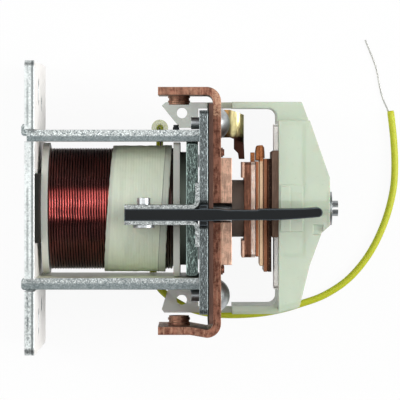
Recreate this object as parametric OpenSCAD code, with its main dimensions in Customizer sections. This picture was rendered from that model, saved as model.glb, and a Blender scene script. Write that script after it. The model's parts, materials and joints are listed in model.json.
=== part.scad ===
// Open-frame solenoid contactor, lying on its side with the coil axis along X.
// Sizes count from the mounting face along X, from the coil axis along Y and from the surface
// that it rests on along Z. The module place() then moves each sub-part to the part's own frame.

/* [Mounting plate] */
// Thickness of the mounting plate
plate_t = 4; // [3:0.5:6]
// Height of the mounting plate, along Y
plate_h = 118.4; // [114:0.4:160]
// Depth of the mounting plate, along Z
plate_w = 88; // [82:1:110]
// How far the middle of the plate lies above the coil axis
plate_rise = 1; // [0:0.2:3]
// Width of the slots and diameter of the round holes
slot_w = 6.5; // [5:0.5:8]
// Length of the slots, end to end
slot_l = 11; // [9:0.5:14]
// Distance between the middles of the two slots
slot_span = 94; // [88:1:98]
// Distance between the two round holes
hole_span = 83.6; // [82:0.4:90]
// Distance from the row of slots to the row of round holes
row_gap = 22.5; // [18:0.5:30]

/* [Yoke] */
// Thickness of the two yoke bars
bar_t = 4.7; // [3.5:0.1:6]
// Depth of the yoke bars, along Z
bar_w = 56; // [52:1:62]
// Distance from the coil axis to the inner face of a bar
bar_inner = 27.7; // [27.4:0.1:30]
// Thickness of the pole plate
pole_t = 4.8; // [3:0.2:6]
// Clearance left beside the pole plate and the bobbin
yoke_gap = 0.4; // [0.2:0.1:0.6]
// How far the peened tenon heads stand out of the mounting face
tenon_head = 2.2; // [1.6:0.2:2.6]

/* [Coil] */
// Thickness of the black spacer strip
spacer_t = 1.7; // [1:0.1:3]
// Height of the spacer strip, along Y
spacer_h = 28; // [20:1:36]
// Radius of the round bobbin flange
flange_r = 27.2; // [26.6:0.1:27.2]
// Thickness of the bobbin flanges
flange_t = 2.6; // [1.6:0.2:4]
// Length of the winding between the flanges
wind_len = 51.2; // [48:0.4:70]
// Wall of the bobbin barrel
barrel_wall = 1.3; // [1:0.1:2]
// Radius of the inner layers under the open turns
core_r = 24; // [20:0.2:24]
// Diameter of the enamelled wire
wire_d = 0.76; // [0.5:0.02:0.76]
// Pitch of the outer turns
wire_pitch = 1.1; // [1.1:0.05:1.2]
// Number of open turns in the outer layer
wire_turns = 24; // [10:1:24]
// Thickness of the tape over the winding
tape_t = 1.4; // [0.4:0.1:1.6]
// Tilt of the tape's left edge, in degrees
tape_tilt = 4.1; // [0:0.1:6]
// Width of the ring between the bobbin and the pole plate
end_ring_w = 2.6; // [1.6:0.2:4]

/* [Plunger] */
// Radius of the plunger
plunger_r = 12.5; // [11:0.5:14]
// Running clearance of the sliding pieces, on the radius
run_gap = 0.05; // [0.02:0.01:0.1]
// Clearance of pieces that are pressed or screwed onto the shaft, on the radius
seat_fit = 0.02; // [0.01:0.01:0.05]
// Wall of the brass guide tube
tube_wall = 0.55; // [0.4:0.05:1]
// Travel of the plunger until the contacts close
travel = 4; // [3:0.1:4]
// Radius of the shaft
shaft_r = 3.2; // [2.6:0.2:3.6]
// Air gap between the fixed core and the plunger
air_gap = 5.4; // [5:0.2:7]
// Length of the fixed core beyond the mounting plate
core_l = 26; // [20:1:34]

/* [Terminals] */
// Thickness of the plates that carry the terminals
carrier_t = 3.4; // [2.6:0.2:5]
// Thickness of the insulator board
board_t = 1.7; // [1.3:0.1:3]
// Thickness of the thin black sheet
sheet_t = 0.5; // [0.3:0.1:0.8]
// Thickness of the copper terminals
copper_t = 3.3; // [2.6:0.1:4]
// Width of the copper terminals, along Z
copper_w = 36; // [32:1:38]
// Inner radius of the terminal bends
bend_r = 2.6; // [1.6:0.2:4]
// Height of the upper terminal's tab above the axis, outer face
upper_tab_y = 50; // [49:0.5:56]
// Depth of the lower terminal's tab below the axis, outer face at its free end
lower_tab_y = 51.4; // [50.8:0.2:56]
// Length of the tabs, from the terminal's front face
tab_l = 25.8; // [22:0.2:30]
// How far the lower tab sags at its bend
tab_sag = 1.2; // [0:0.2:2]
// Outer radius of the tapped bosses
boss_r = 4.6; // [4.2:0.1:5.4]
// Radius of the thread cut in the bosses
tap_r = 3; // [2:0.25:3.4]
// Height of the tapped bosses
boss_h = 3.7; // [2:0.1:4]

/* [Contacts] */
// Thickness of the fixed contact pads
pad_t = 4.4; // [3:0.2:6]
// Thickness of the contact tips
tip_t = 1; // [0.6:0.1:1.6]
// Thickness of the moving contact bar
bridge_t = 2.8; // [2:0.2:4]
// Thickness of the backer behind the moving contact
backer_t = 1.7; // [1:0.1:2.4]
// Height of the moving contact, along Y
bridge_h = 39; // [34:1:39]
// Depth of the moving contact, along Z
bridge_w = 34; // [30:1:36]
// Radius of the grey hub
hub_r = 11.8; // [8:0.2:11.8]
// Thickness of one leaf of the leaf pack
leaf_t = 1.55; // [1:0.05:1.8]
// Thickness of the brown backing plate
backing_t = 1.2; // [0.8:0.1:2]
// Thickness of the plated steel strip
strip_t = 1.6; // [1:0.1:2]

/* [Barrier] */
// Thickness of the sheet metal brackets
bracket_t = 1.6; // [1.2:0.1:2]
// Thickness of the barrier blade at its clamped end
blade_t = 4.8; // [4:0.1:6]
// Depth of the barrier blade, along Z
blade_w = 16; // [12:1:16]
// Distance from the mounting face to the blade's left end
blade_x = 40; // [36:1:44]
// Length of the barrier blade
blade_l = 79.4; // [76:0.2:84]

/* [Contact carrier] */
// Length of the carrier block, along X
block_l = 20.8; // [16:0.4:26]
// Height of the carrier arms above and below the axis
arm_y = 44.3; // [43.9:0.1:46]
// Height of an arm, along Y
arm_h = 2.6; // [1.8:0.1:2.8]
// Thickness of the arms and ears, along Z
arm_w = 4; // [3:0.5:6]
// Radius of the holes in the ears
ear_hole_r = 2.2; // [1.5:0.1:3]

/* [Lead] */
// Diameter of the lead's sleeve
lead_d = 3; // [2:0.1:3.2]
// Diameter of the bare conductor
conductor_d = 0.7; // [0.5:0.1:1.2]
// Radius of the splice sleeve
splice_r = 3.5; // [2.5:0.1:3.5]

/* [Hidden] */

// Colours
zinc = [0.72, 0.75, 0.77];
copper = [0.72, 0.42, 0.3];
dark_copper = [0.5, 0.27, 0.19];
nylon = [0.8, 0.86, 0.79];
black = [0.1, 0.1, 0.11];
brown = [0.36, 0.2, 0.15];
brass = [0.76, 0.66, 0.3];
yellow = [0.78, 0.82, 0.22];

// Roundness of the true curves
fine = 64;
// Overlap of cutting tools past the faces that they cut
over = 1;

// Height of the coil axis above the surface that the plate stands on
axis_z = plate_w / 2;

// Places along X, from the mounting face to the shaft's end
flange_x = plate_t + spacer_t;
wind_x = flange_x + flange_t;
wind_end = wind_x + wind_len;
bobbin_end = wind_end + flange_t;
pole_x = bobbin_end + end_ring_w;
pole_end = pole_x + pole_t;
carrier_gap = 0.5;
carrier_x = pole_end + carrier_gap;
sheet_x = carrier_x + carrier_t;
board_x = sheet_x + sheet_t;
copper_x = board_x + board_t;
pad_x = copper_x + copper_t;
pad_end = pad_x + pad_t;
// Gap left between the contacts at the end of the travel
closed_gap = 0.1;
tip_x = pad_end + travel + closed_gap;
bridge_x = tip_x + tip_t;
backer_x = bridge_x + bridge_t;
leaf_x = backer_x + backer_t;
leaf_count = 4;
leaf_gap = 0.12;
backing_x = leaf_x + leaf_count * (leaf_t + leaf_gap);
strip_x = backing_x + backing_t;
block_x = strip_x + strip_t;
block_end = block_x + block_l;
shaft_end = block_end + 4.3;
// Middle of the object's length, which is the part's origin along X
middle_x = (shaft_end - tenon_head) / 2;

// Radii of the coil and what lies in its bore
tube_in = plunger_r + run_gap;
tube_out = tube_in + tube_wall;
bore_fit = 0.05;
bore_r = tube_out + bore_fit;
barrel_r = bore_r + barrel_wall;
wire_r = wire_d / 2;
seat_gap = 0.02;
turn_steps = 24;
// The turns are drawn with straight steps, whose middles just clear the inner layers
turn_r = (core_r + seat_gap + wire_r) / cos(180 / turn_steps);
full_r = turn_r + wire_r + 0.05;
tape_in = full_r + 0.05;
tape_out = tape_in + tape_t;
tape_right_tilt = 3.2;

// Outer faces of the yoke bars
bar_outer = bar_inner + bar_t;
// Corners of the mounting plate, and the heights of its slots' and round holes' middles
plate_corner = 3;
slot_mid = 1;
hole_mid = 1.6;
// Screw that holds the fixed core to the mounting plate
core_screw_r = 2.5;
core_screw_l = 12;
screw_hole_r = 3.1;
sink_r = 6;
sink_h = 3;
screw_fit = 0.1;
// Room round the spring in the pockets of the fixed core and the plunger
spring_room = 1.4;
// Tenons of the yoke bars, and half the width of the pole plate's tabs
pole_tab = 10;
tenon_w = 13;
tenon_z = bar_w / 2 - tenon_w;
tenon_fit = 0.05;
// Heights of the terminal rivets above and below the axis
upper_rivet_y = bar_outer + 2.9;
lower_rivet_y = -bar_outer - 3.6;
rivet_r = 2.5;
rivet_head_r = 6.4;
rivet_head_h = 3.8;
rivet_tail = 3.4;
// Edges of the carriers and the board
upper_carrier_low = 2.3;
upper_carrier_top = 40.2;
lower_carrier_top = -6.2;
lower_carrier_low = -41.9;
carrier_z_end = plate_w - 2;
board_top = 43.1;
board_low = -46;
board_z = 9;
board_z_end = plate_w - 4;
// Space that the arms of the contact carrier need
arm_room = 0.6;
arm_z = axis_z - 24;
arm_top = arm_z + arm_w;
// Clear hole round the hub and the shaft
hub_room = 0.8;
clear_r = hub_r + hub_room;
// Faces of the barrier blade: upper face at its clamped end
blade_y = 0.6;
blade_low = blade_y - blade_t;
blade_z = plate_w - blade_w;
boss_x = pad_x - 17.3;
// Middle of the bracket rivet
bracket_rivet_x = blade_x + 7.6;
bracket_rivet_z = plate_w - 8;
bracket_rivet_r = 2;

// Moves a sub-part from the places above into the part's own frame
module place() {
    translate([-middle_x, -plate_rise, 0])
        children();
}

// Box between two opposite corners
module block(low, high) {
    translate(low)
        cube(high - low);
}

// Cylinder along X, Y or Z from a start point
module rod_x(x, y, z, r, l) {
    translate([x, y, z])
        rotate([0, 90, 0])
            cylinder(r = r, h = l, $fn = fine);
}

module rod_y(x, y, z, r, l) {
    translate([x, y, z])
        rotate([-90, 0, 0])
            cylinder(r = r, h = l, $fn = fine);
}

module rod_z(x, y, z, r, l) {
    translate([x, y, z])
        cylinder(r = r, h = l, $fn = fine);
}

// Outline of a rectangle with round corners, from its low corner
module round_rect(w, h, r) {
    translate([r, 0])
        square([w - 2 * r, h]);
    translate([0, r])
        square([w, h - 2 * r]);
    for (x = [r, w - r], y = [r, h - r])
        translate([x, y])
            circle(r = r, $fn = fine);
}

// Plate across the coil axis with round corners in its face
module face_plate(x, t, y0, y1, z0, z1, r) {
    translate([x, y0, z0])
        rotate([90, 0, 90])
            linear_extrude(height = t)
                round_rect(y1 - y0, z1 - z0, r);
}

// Tool that cuts a slot along Y through a plate across the axis
module slot_tool(y, z, l) {
    for (s = [-1, 1])
        rod_x(-over, y + s * (l - slot_w) / 2, z, slot_w / 2, plate_t + 2 * over);
    block([-over, y - (l - slot_w) / 2, z - slot_w / 2],
        [plate_t + over, y + (l - slot_w) / 2, z + slot_w / 2]);
}

// Ring of points round a place on a path: u points outward, v lies across the path
function ring(p, u, v, r, sides) =
    [for (i = [0 : sides - 1]) p + r * (cos(360 * i / sides) * u + sin(360 * i / sides) * v)];

// Tube through rings of equal length, closed at both ends
module skin(rings) {
    n = len(rings);
    s = len(rings[0]);
    points = [for (a = rings, p = a) p];
    walls = [for (i = [0 : n - 2], j = [0 : s - 1])
        each [
            [i * s + j, (i + 1) * s + j, (i + 1) * s + (j + 1) % s],
            [i * s + j, (i + 1) * s + (j + 1) % s, i * s + (j + 1) % s]
        ]];
    first_cap = [for (j = [1 : s - 2]) [0, j, j + 1]];
    last = (n - 1) * s;
    last_cap = [for (j = [1 : s - 2]) [last, last + j + 1, last + j]];
    polyhedron(points = points, faces = concat(walls, first_cap, last_cap), convexity = 10);
}

function unit(v) = v / norm(v);
function way(path, i) =
    unit(path[min(i + 1, len(path) - 1)] - path[max(i - 1, 0)]);

// Rings along a helix about the X axis, with a short straight run at each end
function helix_path(x0, pitch, turns, r, steps, run) =
    let (
        last = turns * steps,
        turn = [for (i = [0 : last])
            [x0 + run + pitch * i / steps, r * cos(360 * i / steps), r * sin(360 * i / steps)]]
    )
    concat([[x0, r, 0]], turn, [[x0 + 2 * run + pitch * turns, r, 0]]);

function helix_rings(path, r, sides) =
    [for (i = [0 : len(path) - 1])
        let (
            t = i == 0 || i == len(path) - 1 ? [1, 0, 0] : way(path, i),
            u = unit([0, path[i][1], path[i][2]])
        )
        ring(path[i], u, cross(t, u), r, sides)];

// Least distance between the rings of neighbouring turns
function helix_gap(rings, steps) =
    min([for (i = [1 : len(rings) - steps - 2], a = rings[i], b = rings[i + steps]) norm(a - b)]);

turn_sides = 6;
winding_path = helix_path(wind_x, wire_pitch, wire_turns, turn_r, turn_steps, wire_d);
winding_rings = helix_rings(winding_path, wire_r, turn_sides);
shoulder_x = wind_x + 2 * wire_d + wire_pitch * wire_turns;
echo(winding_gap = helix_gap(winding_rings, turn_steps));

spring_wire = 1.1;
spring_turns = 7;
spring_steps = 12;
spring_r = 5.6;
spring_pocket = 4;
spring_x = plate_t + core_l - spring_pocket;
plunger_x = plate_t + core_l + air_gap;
plunger_end = pole_end - 3;
plunger_pocket = 12;
spring_l = spring_pocket + air_gap + plunger_pocket;
spring_pitch = (spring_l - 2 * spring_wire) / spring_turns;
spring_path = helix_path(spring_x, spring_pitch, spring_turns, spring_r, spring_steps, spring_wire);
spring_rings = helix_rings(spring_path, spring_wire / 2, turn_sides);
echo(spring_gap = helix_gap(spring_rings, spring_steps));

module mounting_plate() {
    color(zinc) place()
        difference() {
            face_plate(0, plate_t, plate_rise - plate_h / 2, plate_rise + plate_h / 2,
                0, plate_w, plate_corner);
            for (s = [-1, 1])
                slot_tool(slot_mid + s * slot_span / 2, axis_z + row_gap / 2, slot_l);
            for (s = [-1, 1])
                rod_x(-over, hole_mid + s * hole_span / 2, axis_z - row_gap / 2, slot_w / 2,
                    plate_t + 2 * over);
            // Open notches that take the tenons of the bars
            for (s = [-1, 1], e = [0, 1])
                block([-over, s > 0 ? bar_inner - tenon_fit : -bar_outer - tenon_fit,
                        e > 0 ? axis_z + tenon_z - tenon_fit : -over],
                    [plate_t + over, s > 0 ? bar_outer + tenon_fit : -bar_inner + tenon_fit,
                        e > 0 ? plate_w + over : axis_z - tenon_z + tenon_fit]);
            rod_x(-over, 0, axis_z, screw_hole_r, plate_t + 2 * over);
            // Countersink of the core screw
            translate([-0.01, 0, axis_z])
                rotate([0, 90, 0])
                    cylinder(r1 = sink_r, r2 = screw_hole_r, h = sink_h, $fn = fine);
        }
}

// Peened head of a tenon, rounded on its free side
module head_outline() {
    head_h = bar_t + 0.2;
    corner = 1.4;
    intersection() {
        round_rect(2 * tenon_head, head_h, corner);
        square([tenon_head, head_h]);
    }
}

// Bar above the axis; its end tenons pass through the plate and the carriers
module yoke_bar(head_shift) {
    difference() {
        union() {
            block([plate_t, bar_inner, axis_z - bar_w / 2], [pole_end - 0.4, bar_outer, axis_z + bar_w / 2]);
            for (z0 = [axis_z + tenon_z, axis_z - bar_w / 2]) {
                block([0, bar_inner, z0], [plate_t + over, bar_outer, z0 + tenon_w]);
                translate([-tenon_head, bar_inner + head_shift, z0])
                    linear_extrude(height = tenon_w)
                        head_outline();
                block([pole_end - over, bar_inner, z0], [sheet_x, bar_outer, z0 + tenon_w]);
            }
        }
        // Window for the tab of the pole plate
        block([pole_x - tenon_fit, bar_inner - over, axis_z - pole_tab - tenon_fit],
            [pole_end + over, bar_outer + over, axis_z + pole_tab + tenon_fit]);
    }
}

module upper_yoke_bar() {
    color(zinc) place()
        yoke_bar(2.2);
}

module lower_yoke_bar() {
    color(zinc) place()
        mirror([0, 1, 0])
            yoke_bar(0);
}

module spacer_strip() {
    rise = 0.8;
    inset = 2;
    color(black) place()
        difference() {
            face_plate(plate_t, spacer_t, rise - spacer_h / 2, rise + spacer_h / 2,
                inset, plate_w - inset, 2);
            rod_x(plate_t - over, 0, axis_z, tube_in + 0.1, spacer_t + 2 * over);
        }
}

module fixed_core() {
    color(zinc) place()
        difference() {
            rod_x(plate_t, 0, axis_z, tube_in - bore_fit, core_l);
            rod_x(plate_t - over, 0, axis_z, core_screw_r, core_screw_l + over + 2);
            rod_x(spring_x, 0, axis_z, spring_r + spring_room, spring_pocket + over);
        }
}

module core_screw() {
    neck_r = screw_hole_r - screw_fit;
    head_h = sink_h - screw_fit;
    key_r = 2.3;
    key_depth = 1.8;
    color(zinc) place()
        difference() {
            union() {
                translate([0, 0, axis_z])
                    rotate([0, 90, 0])
                        cylinder(r1 = sink_r - screw_fit, r2 = neck_r, h = head_h, $fn = fine);
                rod_x(head_h - over, 0, axis_z, neck_r, plate_t - head_h + over);
                rod_x(plate_t - 0.5, 0, axis_z, core_screw_r, core_screw_l + 0.5);
            }
            translate([-over, 0, axis_z])
                rotate([0, 90, 0])
                    cylinder(r = key_r, h = key_depth + over, $fn = 6);
        }
}

module coil_bobbin() {
    color(nylon) place()
        difference() {
            union() {
                rod_x(flange_x, 0, axis_z, flange_r, flange_t);
                rod_x(wind_x - over, 0, axis_z, barrel_r, wind_len + 2 * over);
                face_plate(wind_end, flange_t, -bar_inner + yoke_gap, bar_inner - yoke_gap,
                    axis_z - bar_inner + yoke_gap, axis_z + bar_inner - yoke_gap, 5);
            }
            rod_x(flange_x - over, 0, axis_z, bore_r, bobbin_end - flange_x + 2 * over);
        }
}

module winding_core() {
    color([0.2, 0.08, 0.07]) place()
        difference() {
            union() {
                rod_x(wind_x, 0, axis_z, core_r, wind_len);
                rod_x(shoulder_x, 0, axis_z, full_r, wind_end - shoulder_x);
            }
            rod_x(wind_x - over, 0, axis_z, barrel_r, wind_len + 2 * over);
        }
}

module coil_winding() {
    color([0.42, 0.13, 0.11]) place()
        translate([0, 0, axis_z])
            skin(winding_rings);
}

// Sleeve of tape with slanted edges
module coil_tape() {
    // Places of the edges at the height of the coil axis
    left = wind_x + 24.4;
    right = wind_end - 2.2;
    lean = tape_out * tan(tape_tilt) + over;
    reach = 2 * tape_out;
    color([0.78, 0.82, 0.74]) place()
        difference() {
            rod_x(left - lean, 0, axis_z, tape_out, wind_end - 0.1 - left + lean);
            rod_x(wind_x, 0, axis_z, tape_in, wind_len);
            translate([left, 0, axis_z])
                rotate([0, 0, -tape_tilt])
                    block([-reach, -reach, -reach], [0, reach, reach]);
            translate([right, 0, axis_z])
                rotate([0, 0, -tape_right_tilt])
                    block([0, -reach, -reach], [reach, reach, reach]);
        }
}

// Splice beside the upper bar, where the thin coil wire meets the lead
splice_x = 53.2;
splice_y = bar_outer + 1.2;
splice_low = 8.8;
splice_top = 14.8;
splice_pocket = 4.4;
splice_bore = 2.1;
end_wire_d = 0.6;
end_wire_r = tape_out + end_wire_d;
end_wire_start = [wind_x + 46, 0.664 * end_wire_r, axis_z - 0.747 * end_wire_r];
// Where the wire passes under the far edge of the upper bar
end_wire_bend = [wind_x + 45.2, bar_inner + 0.3, axis_z - bar_w / 2 - end_wire_d];
end_wire_path = [
    end_wire_start,
    0.7 * end_wire_start + 0.3 * end_wire_bend,
    0.4 * end_wire_start + 0.6 * end_wire_bend,
    end_wire_bend,
    [splice_x, splice_y - 1.6, splice_top + 0.4],
    [splice_x, splice_y, splice_top - 1.2],
    [splice_x, splice_y, splice_top - splice_pocket]
];

module coil_end_wire() {
    color([0.2, 0.1, 0.08]) place()
        skin(steep_rings(end_wire_path, end_wire_d / 2, 6));
}

// Rings across a path that stays near a plane of constant X
function steep_rings(path, r, sides) =
    [for (i = [0 : len(path) - 1])
        let (t = way(path, i), u = unit([1, 0, 0] - t * t[0]))
        ring(path[i], u, cross(t, u), r, sides)];

module coil_end_ring() {
    ring_r = 23.4;
    color([0.3, 0.34, 0.3]) place()
        difference() {
            rod_x(bobbin_end, 0, axis_z, ring_r, end_ring_w);
            rod_x(bobbin_end - over, 0, axis_z, tube_out + 0.4, end_ring_w + 2 * over);
        }
}

module guide_tube() {
    start = plate_t + 6;
    color(brass) place()
        difference() {
            rod_x(start, 0, axis_z, tube_out, pole_end - start);
            rod_x(start - over, 0, axis_z, tube_in, pole_end - start + 2 * over);
        }
}

module plunger() {
    color(zinc) place()
        difference() {
            rod_x(plunger_x, 0, axis_z, plunger_r, plunger_end - plunger_x);
            rod_x(plunger_x - over, 0, axis_z, spring_r + spring_room, plunger_pocket + over);
            rod_x(plunger_x, 0, axis_z, shaft_r + seat_fit, plunger_end);
        }
}

module plunger_shaft() {
    color([0.6, 0.62, 0.64]) place()
        difference() {
            rod_x(plunger_x + plunger_pocket, 0, axis_z, shaft_r, shaft_end - plunger_x - plunger_pocket);
            // Screwdriver slot
            block([shaft_end - 2.2, -0.5, axis_z - 5], [shaft_end + over, 0.5, axis_z + 5]);
        }
}

module return_spring() {
    color([0.55, 0.57, 0.6]) place()
        translate([0, 0, axis_z])
            skin(spring_rings);
}

module pole_plate() {
    color(zinc) place()
        difference() {
            union() {
                translate([pole_x, -bar_inner + 1, axis_z - bar_w / 2 + 0.5])
                    linear_extrude(height = bar_w - 1)
                        round_rect(pole_t, 2 * bar_inner - 2, 1.2);
                for (s = [-1, 1])
                    block([pole_x, s > 0 ? bar_inner - 2 : -bar_outer, axis_z - pole_tab],
                        [pole_end, s > 0 ? bar_outer : -bar_inner + 2, axis_z + pole_tab]);
            }
            rod_x(pole_x - over, 0, axis_z, tube_out + 0.05, pole_t + 2 * over);
        }
}

// Tools that cut the carriers: windows for the bar tenons and a hole for the rivet
module carrier_cuts(side, rivet_y) {
    for (z0 = [axis_z + tenon_z, axis_z - bar_w / 2])
        block([carrier_x - over, side > 0 ? bar_inner - tenon_fit : -bar_outer - tenon_fit, z0 - tenon_fit],
            [sheet_x + over, side > 0 ? bar_outer + tenon_fit : -bar_inner + tenon_fit,
                z0 + tenon_w + tenon_fit]);
    rod_x(carrier_x - over, rivet_y, axis_z, rivet_r, carrier_t + 2 * over);
    rod_x(carrier_x - over, 0, axis_z, clear_r, carrier_t + 2 * over);
}

module upper_carrier_plate() {
    color(zinc) place()
        difference() {
            union() {
                face_plate(carrier_x, carrier_t, upper_carrier_low, upper_carrier_top, 0, carrier_z_end, 2);
                // Pressed pad next to the bracket
                block([carrier_x - 0.4, upper_carrier_low + 15, axis_z + 6],
                    [carrier_x + over, upper_carrier_low + 20, axis_z + 26]);
            }
            carrier_cuts(1, upper_rivet_y);
        }
}

module lower_carrier_plate() {
    color(zinc) place()
        difference() {
            union() {
                face_plate(carrier_x, carrier_t, lower_carrier_low, lower_carrier_top, 0, carrier_z_end, 2);
                block([carrier_x - 0.4, lower_carrier_top - 14, axis_z + 6],
                    [carrier_x + over, lower_carrier_top - 9, axis_z + 26]);
            }
            carrier_cuts(-1, lower_rivet_y);
            // Room for the lower arm of the contact carrier
            block([carrier_x - over, lower_carrier_low - over, -over],
                [sheet_x + over, -arm_y + arm_h + arm_room + 1, arm_top + arm_room]);
        }
}

// Outline of a thin angle strip above the blade
module bracket_outline() {
    inner = 1.5;
    outer = inner + bracket_t;
    leg_end = carrier_x;
    leg_top = 10.4;
    translate([blade_x, 0])
        square([leg_end - outer - blade_x, bracket_t]);
    translate([leg_end - bracket_t, outer])
        square([bracket_t, leg_top - outer]);
    translate([leg_end - outer, outer])
        difference() {
            intersection() {
                circle(r = outer, $fn = fine);
                translate([0, -outer])
                    square([outer, outer]);
            }
            circle(r = inner, $fn = fine);
        }
}

module bracket_body() {
    difference() {
        linear_extrude(height = blade_w - 1)
            bracket_outline();
        rod_y(bracket_rivet_x, -over, bracket_rivet_z - blade_z - 1, bracket_rivet_r, bracket_t + 2 * over);
    }
}

module upper_bracket() {
    color(zinc) place()
        translate([0, blade_y, blade_z + 1])
            bracket_body();
}

module lower_bracket() {
    color(zinc) place()
        translate([0, blade_low, blade_z + 1])
            mirror([0, 1, 0])
                bracket_body();
}

module bracket_rivet() {
    top_r = 2.7;
    top_h = 2.7;
    foot_r = 4.4;
    foot_h = 1.3;
    foot_y = blade_low - bracket_t - foot_h;
    color([0.85, 0.87, 0.88]) place() {
        rod_y(bracket_rivet_x, blade_y + bracket_t, bracket_rivet_z, top_r, top_h);
        rod_y(bracket_rivet_x, foot_y + 0.3, bracket_rivet_z, bracket_rivet_r, blade_t + 2 * bracket_t + 2);
        rod_y(bracket_rivet_x, foot_y, bracket_rivet_z, foot_r, foot_h);
    }
}

// Side outline of the blade: thick at its clamped end, curling up a little at its tip
blade_end = blade_x + blade_l;
tip_r = 1.9;
blade_side = [
    [blade_x, blade_low],
    [blade_x, blade_y],
    [sheet_x + 4, blade_y],
    [sheet_x + 8, blade_y - 0.5],
    [sheet_x + 20, blade_y - 0.5],
    [sheet_x + 21, blade_y],
    [blade_end - 14, blade_y],
    [blade_end - 8, blade_y + 0.1],
    [blade_end - tip_r, blade_y + 0.5],
    [blade_end - tip_r, blade_y + 0.5 - 2 * tip_r],
    [blade_end - 9, blade_low + 0.9],
    [blade_end - 18, blade_low + 0.3],
    [sheet_x + 8, blade_low + 0.3],
    [sheet_x + 2, blade_low]
];

module barrier_blade() {
    color(black) place()
        difference() {
            union() {
                translate([0, 0, blade_z])
                    linear_extrude(height = blade_w)
                        polygon(blade_side);
                rod_z(blade_end - tip_r, blade_y + 0.5 - tip_r, blade_z, tip_r, blade_w);
                block([carrier_x + 0.1, lower_carrier_top + 0.05, blade_z],
                    [sheet_x, upper_carrier_low - 0.05, plate_w - 2]);
            }
            rod_y(bracket_rivet_x, blade_low - over, bracket_rivet_z, bracket_rivet_r, blade_t + 2 * over);
        }
}

// Cuts that the sheet and the board share
module board_cuts(x, t) {
    rod_x(x - over, 0, axis_z, clear_r, t + 2 * over);
    for (y = [upper_rivet_y, lower_rivet_y])
        rod_x(x - over, y, axis_z, rivet_r, t + 2 * over);
    block([x - over, blade_low - 0.05, blade_z - 0.3], [x + t + over, blade_y + 0.05, plate_w + over]);
    block([x - over, arm_y - arm_h - arm_room, -over], [x + t + over, arm_y + over, arm_top + arm_room]);
    block([x - over, board_low - over, -over],
        [x + t + over, -arm_y + arm_h + arm_room + 1, arm_top + arm_room]);
}

module insulation_sheet() {
    color(black) place()
        difference() {
            face_plate(sheet_x, sheet_t, board_low, board_top, board_z, board_z_end, 2);
            board_cuts(sheet_x, sheet_t);
        }
}

module insulator_board() {
    color(brown) place()
        difference() {
            face_plate(board_x, board_t, board_low, board_top, board_z, board_z_end, 2);
            board_cuts(board_x, board_t);
        }
}

// Quarter of a bend between the upright and the tab of a terminal
module bend(r_in, t) {
    difference() {
        intersection() {
            circle(r = r_in + t, $fn = fine);
            square(r_in + t);
        }
        circle(r = r_in, $fn = fine);
    }
}

module terminal_outline(low, tab_y, sag) {
    turn = bend_r + copper_t;
    top = tab_y + sag;
    translate([copper_x, low])
        square([copper_t, top - turn - low]);
    translate([pad_x - turn, top - turn])
        bend(bend_r, copper_t);
    polygon([
        [pad_x - tab_l, tab_y - copper_t],
        [pad_x - tab_l, tab_y],
        [boss_x + boss_r, tab_y],
        [pad_x - turn, top],
        [pad_x - turn, top - copper_t],
        [boss_x + boss_r, tab_y - copper_t]
    ]);
}

module terminal(low, tab_y, sag, rivet_y) {
    difference() {
        union() {
            translate([0, 0, axis_z - copper_w / 2])
                linear_extrude(height = copper_w)
                    terminal_outline(low, tab_y, sag);
            rod_y(boss_x, tab_y - copper_t - boss_h, axis_z, boss_r - 0.4, boss_h + 0.5);
            rod_y(boss_x, tab_y - copper_t - boss_h + 0.8, axis_z, boss_r, 0.9);
            rod_y(boss_x, tab_y - copper_t - 1, axis_z, boss_r, 1.5);
        }
        rod_y(boss_x, tab_y - copper_t - boss_h - over, axis_z, tap_r, copper_t + boss_h + 2 * over);
        rod_x(copper_x - over, 0, axis_z, clear_r, copper_t + 2 * over);
        rod_x(copper_x - over, rivet_y, axis_z, rivet_r, copper_t + 2 * over);
    }
}

// Gap between the two terminals at the barrier
upper_copper_low = 2.5;
lower_copper_top = 5.4;

module upper_terminal() {
    color(copper) place()
        terminal(upper_copper_low, upper_tab_y, 0, upper_rivet_y);
}

module lower_terminal() {
    color(copper) place()
        mirror([0, 1, 0])
            terminal(lower_copper_top, lower_tab_y, tab_sag, -lower_rivet_y);
}

// Domed head on the copper, shank through the stack and a tail behind the carrier
module terminal_rivet(y) {
    // Radius of the sphere that the head is cut from
    dome_r = (pow(rivet_head_r, 2) + pow(rivet_head_h, 2)) / (2 * rivet_head_h);
    translate([pad_x, y, axis_z])
        rotate([0, 90, 0])
            rotate_extrude($fn = fine)
                intersection() {
                    translate([0, rivet_head_h - dome_r])
                        circle(r = dome_r, $fn = fine);
                    square([rivet_head_r, rivet_head_h + over]);
                }
    rod_x(carrier_x - rivet_tail, y, axis_z, rivet_r, pad_x + 0.5 - carrier_x + rivet_tail);
}

module terminal_rivets() {
    color([0.75, 0.77, 0.8]) place() {
        terminal_rivet(upper_rivet_y);
        terminal_rivet(lower_rivet_y);
    }
}

upper_pad_top = 20.9;
lower_pad_low = -22.8;

module fixed_contacts() {
    color([0.8, 0.55, 0.45]) place()
        difference() {
            union() {
                block([pad_x, upper_copper_low, axis_z - copper_w / 2],
                    [pad_end, upper_pad_top, axis_z + copper_w / 2]);
                block([pad_x, lower_pad_low, axis_z - copper_w / 2],
                    [pad_end, -lower_copper_top, axis_z + copper_w / 2]);
            }
            rod_x(pad_x - over, 0, axis_z, clear_r, pad_t + 2 * over);
        }
}

module contact_rivet(y, z) {
    low_r = 2;
    low_h = 0.8;
    top_r = 1.4;
    top_h = 0.6;
    rod_x(pad_x, y, z, low_r, low_h);
    rod_x(pad_x + low_h - 0.1, y, z, top_r, top_h + 0.1);
}

// Two small rivet heads beyond the far end of each fixed contact
module contact_rivets() {
    beyond = 2.3;
    color(copper) place()
        for (z = [axis_z - copper_w / 4, axis_z + copper_w / 4]) {
            contact_rivet(upper_pad_top + beyond, z);
            contact_rivet(lower_pad_low - beyond, z);
        }
}

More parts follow.
